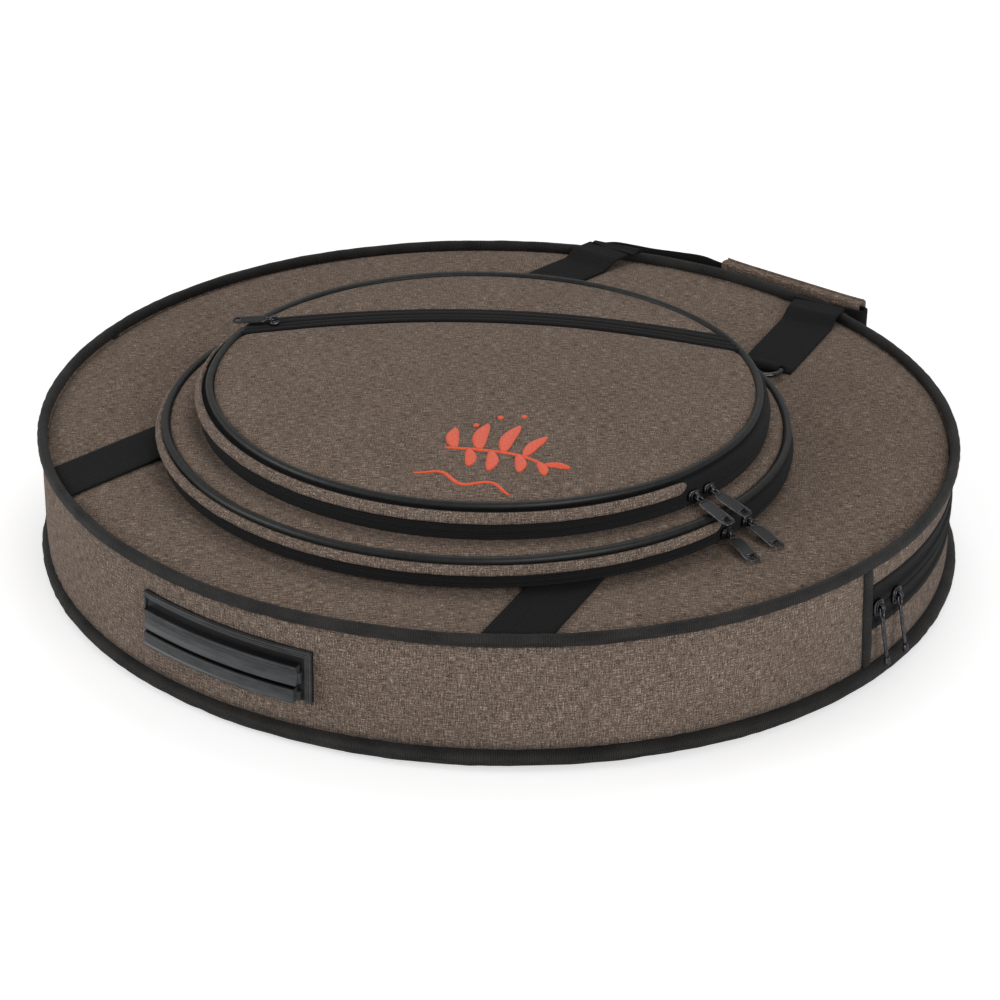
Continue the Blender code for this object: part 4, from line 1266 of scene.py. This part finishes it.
def top_part(name, radius, edge_radius, by_far_side, node, seed):
    count, rows = 121, 61
    rim_soft, rim_fall, zip_soft, zip_fall = 0.008, 0.0016, 0.006, 0.0008
    bow = bow_line(edge_radius, radius - 0.0002, count)
    rim = rim_line(bow[0], bow[-1], radius, count, by_far_side)
    t = np.linspace(0, 1, rows)[None, :, None]
    flat = bow[:, None] * (1 - t) + rim[:, None] * t
    x, y = flat[..., 0], flat[..., 1]
    at_rim = rim_share(x, y, radius, rim_soft, centre_two)
    from_zip = np.abs(away(x, y, slip_centre) - slip_bow_radius) - slip_tape_half
    at_zip = share(1 - from_zip / zip_soft)
    fold = zip_fall * droop(share(at_zip * 1.6 - 0.6))
    loose = (1 - at_rim) * (1 - at_zip)
    crown = dome(x, y, radius)
    z = high(node).z + crown - rim_fall * droop(at_rim) - fold
    z = z + rumple(x, y, seed, 0.10, 0.0005) * loose
    levels = (z, low(node).z + crown)
    piece = cushion(name, x, y, levels, cloth_angle, loose < 0.05, 0.0015)
    settle(piece, "pocket_two_lid", "heather_fabric", node)
    return piece


emblem_middle = np.array([0.082, -0.122])
emblem_turn = math.radians(10.2)
emblem_scale = np.array([0.80, 1.0])
# Share of the stem, lean in degrees, length and width of each leaf
leaves = (
    (0.12, 118, 0.026, 0.0085), (0.34, 108, 0.034, 0.0095), (0.56, 98, 0.036, 0.0095),
    (0.76, 84, 0.030, 0.0085), (0.24, -62, 0.022, 0.0075), (0.46, -66, 0.025, 0.0080),
    (0.68, -60, 0.022, 0.0075), (0.90, -48, 0.017, 0.0065), (0.99, 12, 0.020, 0.0080),
)
berries = ((-0.036, 0.026), (-0.024, 0.042), (-0.008, 0.050))


def emblem(skin):
    """Orange satin stitching: a sprig of nine leaves with three berries, over one wave."""
    mesh = skin.data
    tree = BVHTree.FromPolygons(
        [v.co for v in mesh.vertices], [tuple(p.vertices) for p in mesh.polygons]
    )
    c, s = math.cos(emblem_turn), math.sin(emblem_turn)
    shape = Shape()

    def satin_line(points, width, power):
        flat = smooth_line(points, 8) * emblem_scale
        flat = emblem_middle + flat @ np.array([[c, s], [-s, c]])
        z = [tree.ray_cast(Vector((*p, 1.0)), Vector((0, 0, -1)))[0].z for p in flat]
        path = np.column_stack([flat, np.array(z) + 0.0001])
        along = unit(np.gradient(path, axis=0))
        girth = np.maximum(0.25, (1 - np.linspace(-1, 1, len(path)) ** 2) ** power)
        section = round_section(width / 2, 0.0006, 2.0, 10)
        rows = section[None] * np.stack([girth, np.ones_like(girth)], -1)[:, None]
        sweep(shape, path, np.cross(along, (0, 0, 1.0)), rows)

    stem = smooth_line([(-0.044, -0.008), (-0.018, -0.002), (0.012, 0.002), (0.038, -0.002)], 10)
    satin_line(stem[::3], 0.0030, 0.2)
    for part, degrees, reach, width in leaves:
        root = stem[int(part * (len(stem) - 1))]
        way = np.array([math.cos(math.radians(degrees)), math.sin(math.radians(degrees))])
        side = np.array([-way[1], way[0]]) * 0.08 * reach
        satin_line([root, root + way * reach * 0.5 + side, root + way * reach], width, 0.6)
    for x, y in berries:
        satin_line([(x - 0.0022, y), (x, y), (x + 0.0022, y)], 0.0050, 0.4)
    wave = [(x, -0.040 + 0.0040 * math.sin(x * 150)) for x in np.linspace(-0.050, 0.030, 22)]
    satin_line(wave, 0.0030, 0.3)
    settle(shape.make("top_emblem", ORANGE_THREAD), "pocket_two_lid", "heather_fabric")


def slip_zip(radius):
    """Two tapes that meet in a thin line, with the coil on their inner side."""
    within, count = radius + 0.0012, 160
    line = bow_line(slip_bow_radius, within, count)
    top = high("pocket_two_top").z
    for way, word in ((-1, "near"), (1, "far")):
        section = np.array([
            (0.0002, -0.0014), (0.0002, 0.0001), (0.0010, 0.0008), (0.0030, 0.0010),
            (0.0052, 0.0008), (0.0058, 0.0002), (0.0064, 0.0006), (0.0084, 0.0009),
            (slip_tape_half - 0.0006, 0.0006), (slip_tape_half - 0.0002, -0.0003),
            (slip_tape_half - 0.0002, -0.0014),
        ]) * [way, 1]
        points = np.zeros((count, len(section), 3))
        for n, (v, h) in enumerate(section):
            flat = bow_line(slip_bow_radius + v, within, count)
            points[:, n, :2] = flat
            points[:, n, 2] = top + h + dome(flat[:, 0], flat[:, 1], radius)
        shape = Shape()
        shape.tube(points, lengths(line), lengths(section, True))
        piece = shape.make(f"slip_tape_{word}", TAPE)
        settle(piece, "pocket_two_lid", "zip_tape", "slip_zip_tape")


def slip_lining():
    node = "slip_pocket_lining"
    x, y = disc_grid(radius_of(node), 40, centre_two)
    wave = rumple(x, y, 9, 0.08, 0.0002)
    shape = Shape()
    pad(shape, x, y, high(node).z + wave, low(node).z + wave, weave_at(x, y))
    settle(shape.make("slip_lining", LINING, LINING), "pocket_two_lid", "dark_lining", node)


def pocket_floor():
    """Lining on the floor of the low pocket, over the straps."""
    node = "pocket_one_tape_lower"
    x, y = disc_grid(radius_of(node) - 0.0030, 40, centre_one)
    shape = Shape()
    pad(shape, x, y, low(node).z + 0.0009, low(node).z + 0.0001, weave_at(x, y))
    settle(shape.make("pocket_one_floor", LINING, LINING), "case", "dark_lining")


flap_one = (math.radians(-178.0), math.radians(-10.0))
flap_two = (math.radians(-174.0), math.radians(-15.0))


def pockets():
    radius = pocket("one", centre_one, "case", "pocket_one_lid", 41, flap_one)
    pocket_one_panel(radius)
    radius = pocket("two", centre_two, "pocket_one_lid", "pocket_two_lid", 51, flap_two)
    near, far = slip_bow_radius - slip_tape_half, slip_bow_radius + slip_tape_half
    emblem(top_part("top_panel", radius, near, False, "pocket_two_top", 61))
    top_part("slip_panel", radius, far, True, "slip_pocket_top", 62)
    slip_zip(radius)
    slip_lining()
    pocket_floor()


# Sliders and pulls

slider_plate = 0.002
slip_slider_angle = math.radians(-14.8825)
eye_wire = round_section(0.0007, 0.0007, 2, 8)


def block(shape, middle, axes, halves, power, look=0):
    """A rounded block: superellipse rings stacked along the third axis."""
    a, b, c = axes
    levels = np.array([-1.0, -0.97, -0.85, 0.85, 0.97, 1.0])
    shrink = np.array([0.82, 0.94, 1.0, 1.0, 0.94, 0.82])
    ring = round_section(halves[0], halves[1], power, 20)
    points = (
        middle + (a * ring[None, :, :1] + b * ring[None, :, 1:]) * shrink[:, None, None]
        + c * (levels * halves[2])[:, None, None]
    )
    shape.tube(points, levels * halves[2], lengths(ring, True), look)


def long_pull(tag, pivot, u, p, q, length):
    """A wire eye, a thin flat shaft and a small stop at its end."""
    loop = [(0.0, -0.0008), (0.0017, 0.0004), (0.0021, 0.0035), (0.0014, 0.0062)]
    eye = loop + [(-x, y) for x, y in reversed(loop[1:])]
    sweep(tag, [pivot + u * x + p * y for x, y in eye], q, eye_wire, closed=True)
    shaft = [pivot + p * y for y in np.linspace(0.0055, length - 0.004, 12)]
    widths = np.array([1.0, 1.2, 1.45, 1.5, 1.5, 1.45, 1.4, 1.35, 1.3, 1.25, 1.2, 1.1]) * 0.0012
    section = round_section(1.0, 0.0007, 4.0, 14)
    sweep(tag, shaft, u, section * np.stack([widths, np.ones(12)], -1)[:, None])
    block(tag, pivot + p * (length - 0.003), (u, q, p), (0.0024, 0.0014, 0.0024), 3.0)


def flat_pull(tag, pivot, u, p, q, end, width):
    """An eye, a thin metal edge round two enamelled flats, and a cross bar over the slot."""
    start, half, turn = 0.0055, width / 2, 0.0030
    eye = [(0.0018, 0.0048), (0.0017, 0.0010), (0.0, -0.0008), (-0.0017, 0.0010), (-0.0018, 0.0048)]
    sweep(tag, smooth_line([pivot + u * x + p * y for x, y in eye], 4), q, eye_wire)
    corners = []
    for sx, sy, first in ((1, 1, 0), (-1, 1, 90), (-1, -1, 180), (1, -1, 270)):
        x, y = sx * (half - turn), end - turn if sy > 0 else start + turn
        for a in np.radians(np.linspace(first, first + 90, 5)):
            corners.append(pivot + u * (x + turn * math.cos(a)) + p * (y + turn * math.sin(a)))
    sweep(tag, corners, q, round_section(0.0004, 0.0007, 2, 8), closed=True)
    slot_low, slot_high = start + (end - start) * 0.76, start + (end - start) * 0.93
    for y0, y1 in ((start + 0.0008, slot_low), (slot_high, end - 0.0008)):
        halves = (half - 0.0002, (y1 - y0) / 2, 0.0005)
        block(tag, pivot + p * (y0 + y1) / 2, (u, p, q), halves, 6.0, 1)
    for side in (-1, 1):
        middle = pivot + p * (slot_low + slot_high) / 2 + u * side * half * 0.72
        halves = (half * 0.22, (slot_high - slot_low) / 2 + 0.001, 0.0005)
        block(tag, middle, (u, p, q), halves, 6.0, 1)
    for face in (-1, 1):
        bar = [pivot + u * x * half * 0.8 + p * slot_low + q * face * 0.0005 for x in (-1, 0, 1)]
        sweep(tag, bar, q, round_section(0.0004, 0.0004, 2, 6))


def slider(word, foot, across, chain_way, out, half, pull, rest, yaw=0.0):
    """A slider's body and its pull. A pull without a width is a long thin one."""
    foot, u, v, w = (np.asarray(p, float) for p in (foot, across, chain_way, out))
    body, plate = Shape(), slider_plate
    block(body, foot + w * plate / 2, (u, v, w), (0.0050, half, plate / 2), 3.2)
    block(body, foot + w * (plate + 0.0002), (u, v, w), (0.0036, half * 0.8, 0.0004), 3.0)
    arch = np.linspace(0, math.pi, 11)
    path = [foot + w * (plate + 0.0030 * math.sin(t)) + v * 0.0026 * math.cos(t) for t in arch]
    sweep(body, path, u, round_section(0.0015, 0.0006, 3.0, 10))
    piece = body.make(f"zipper_{word}", METAL)
    settle(piece, f"{word}_slider_body", "dark_metal", f"{word}_slider")
    length, width = pull
    pivot = foot + w * (plate + 0.0012)
    rest, yaw = math.radians(rest), math.radians(yaw)
    p = -v * math.cos(rest) + w * math.sin(rest)
    q = np.cross(u, p)
    p, u = p * math.cos(yaw) - u * math.sin(yaw), u * math.cos(yaw) + p * math.sin(yaw)
    tag = Shape()
    if width:
        flat_pull(tag, pivot, u, p, q, length, width)
    else:
        long_pull(tag, pivot, u, p, q, length)
    piece = tag.make(f"pull_{word}", METAL, ENAMEL)
    settle(piece, f"{word}_pull_body", "dark_metal", f"{word}_pull")


def sliders():
    up = np.array([0.0, 0.0, 1.0])

    def on_ring(word, degrees, centre, radius, z, half, pull, tilt, yaw=0.0):
        c, s = math.cos(math.radians(degrees)), math.sin(math.radians(degrees))
        foot = np.array([*centre, z]) + radius * np.array([c, s, 0.0])
        slider(word, foot, (-s, c, 0.0), up, (c, s, 0.0), half, pull, tilt, yaw)

    long_size, flat_size, main_half, small_half = (0.038, 0.0), (0.030, 0.009), 0.0055, 0.0034
    for word, degrees in (("near", -6.2), ("far", -2.2)):
        on_ring(f"main_{word}", degrees, (0.0, 0.0), wall_radius + 0.0014, zip_split, main_half,
                long_size, 12.0)
    for word, centre, tilt, yaw, angles in (
        ("one", centre_one, 82.0, 20.0, (-8.6, -2.7)),
        ("two", centre_two, 76.0, 0.0, (-13.05, -8.75)),
    ):
        tape = f"pocket_{word}_tape_upper"
        z = split_of(f"pocket_{word}_tape_lower", tape)
        for side, degrees in zip(("left", "right"), angles):
            on_ring(f"pocket_{word}_{side}", degrees, centre, radius_of(tape) + gap, z,
                    small_half, flat_size, tilt, yaw)
    angle = slip_slider_angle
    way = slip_out * math.cos(angle) + slip_along * math.sin(angle)
    flat = slip_centre + slip_bow_radius * way
    top = high("pocket_two_top").z + 0.0013 + dome(*flat, radius_of("pocket_two_top"))
    along = np.array([way[1], -way[0], 0.0])
    across = np.cross(along, up)
    slider("slip", (*flat, top), across, along, up, small_half, (0.028, 0.009), -7.0, 18.0)


# Stage and light

def stage():
    line = np.linspace(-6.0, 6.0, 9)
    x, y = np.meshgrid(line, line, indexing="ij")
    shape = Shape()
    shape.quads(shape.put(np.stack([x, y, np.full_like(x, -0.0002)], -1)), weave_at(x, y))
    shape.make("floor", floor_look())


def lamp(name, place, aim, size, power):
    data = bpy.data.lights.new(name, "AREA")
    data.shape = "DISK"
    data.size = size
    data.energy = power
    made = bpy.data.objects.new(name, data)
    made.location = place
    made.rotation_euler = (Vector(aim) - Vector(place)).to_track_quat("-Z", "Y").to_euler()
    bpy.context.scene.collection.objects.link(made)


def light():
    """A soft world that the camera sees as white, and three lamps."""
    world = bpy.context.scene.world or bpy.data.worlds.new("world")
    bpy.context.scene.world = world
    world.use_nodes = True
    nodes, links = world.node_tree.nodes, world.node_tree.links
    nodes.clear()
    path = nodes.new("ShaderNodeLightPath")
    most = nodes.new("ShaderNodeMath")
    most.operation = "MAXIMUM"
    pick = nodes.new("ShaderNodeMixShader")
    links.new(path.outputs["Is Camera Ray"], most.inputs[0])
    links.new(path.outputs["Is Transmission Ray"], most.inputs[1])
    links.new(most.outputs[0], pick.inputs[0])
    for number, strength in ((1, 0.34), (2, 1.0)):
        glow = nodes.new("ShaderNodeBackground")
        glow.inputs["Color"].default_value = (1, 1, 1, 1)
        glow.inputs["Strength"].default_value = strength
        links.new(glow.outputs[0], pick.inputs[number])
    links.new(pick.outputs[0], nodes.new("ShaderNodeOutputWorld").inputs[0])
    lamp("left", (-1.5, -1.5, 0.75), (0, 0, 0.05), 1.3, 17.0)
    lamp("right", (1.9, -1.0, 0.7), (0, 0, 0.05), 1.3, 19.0)
    lamp("above", (-0.3, 0.9, 2.0), (0, 0, 0), 1.2, 9.0)
    bpy.context.scene.view_settings.view_transform = "Standard"


for step in (
    camera, light, stage, front_panel, base_panel, divider_pad, bindings, side_wall, main_zip,
    zip_ends, rub_plate, straps, rings, front_handle, wraps, back_handle, pockets, sliders,
):
    step()
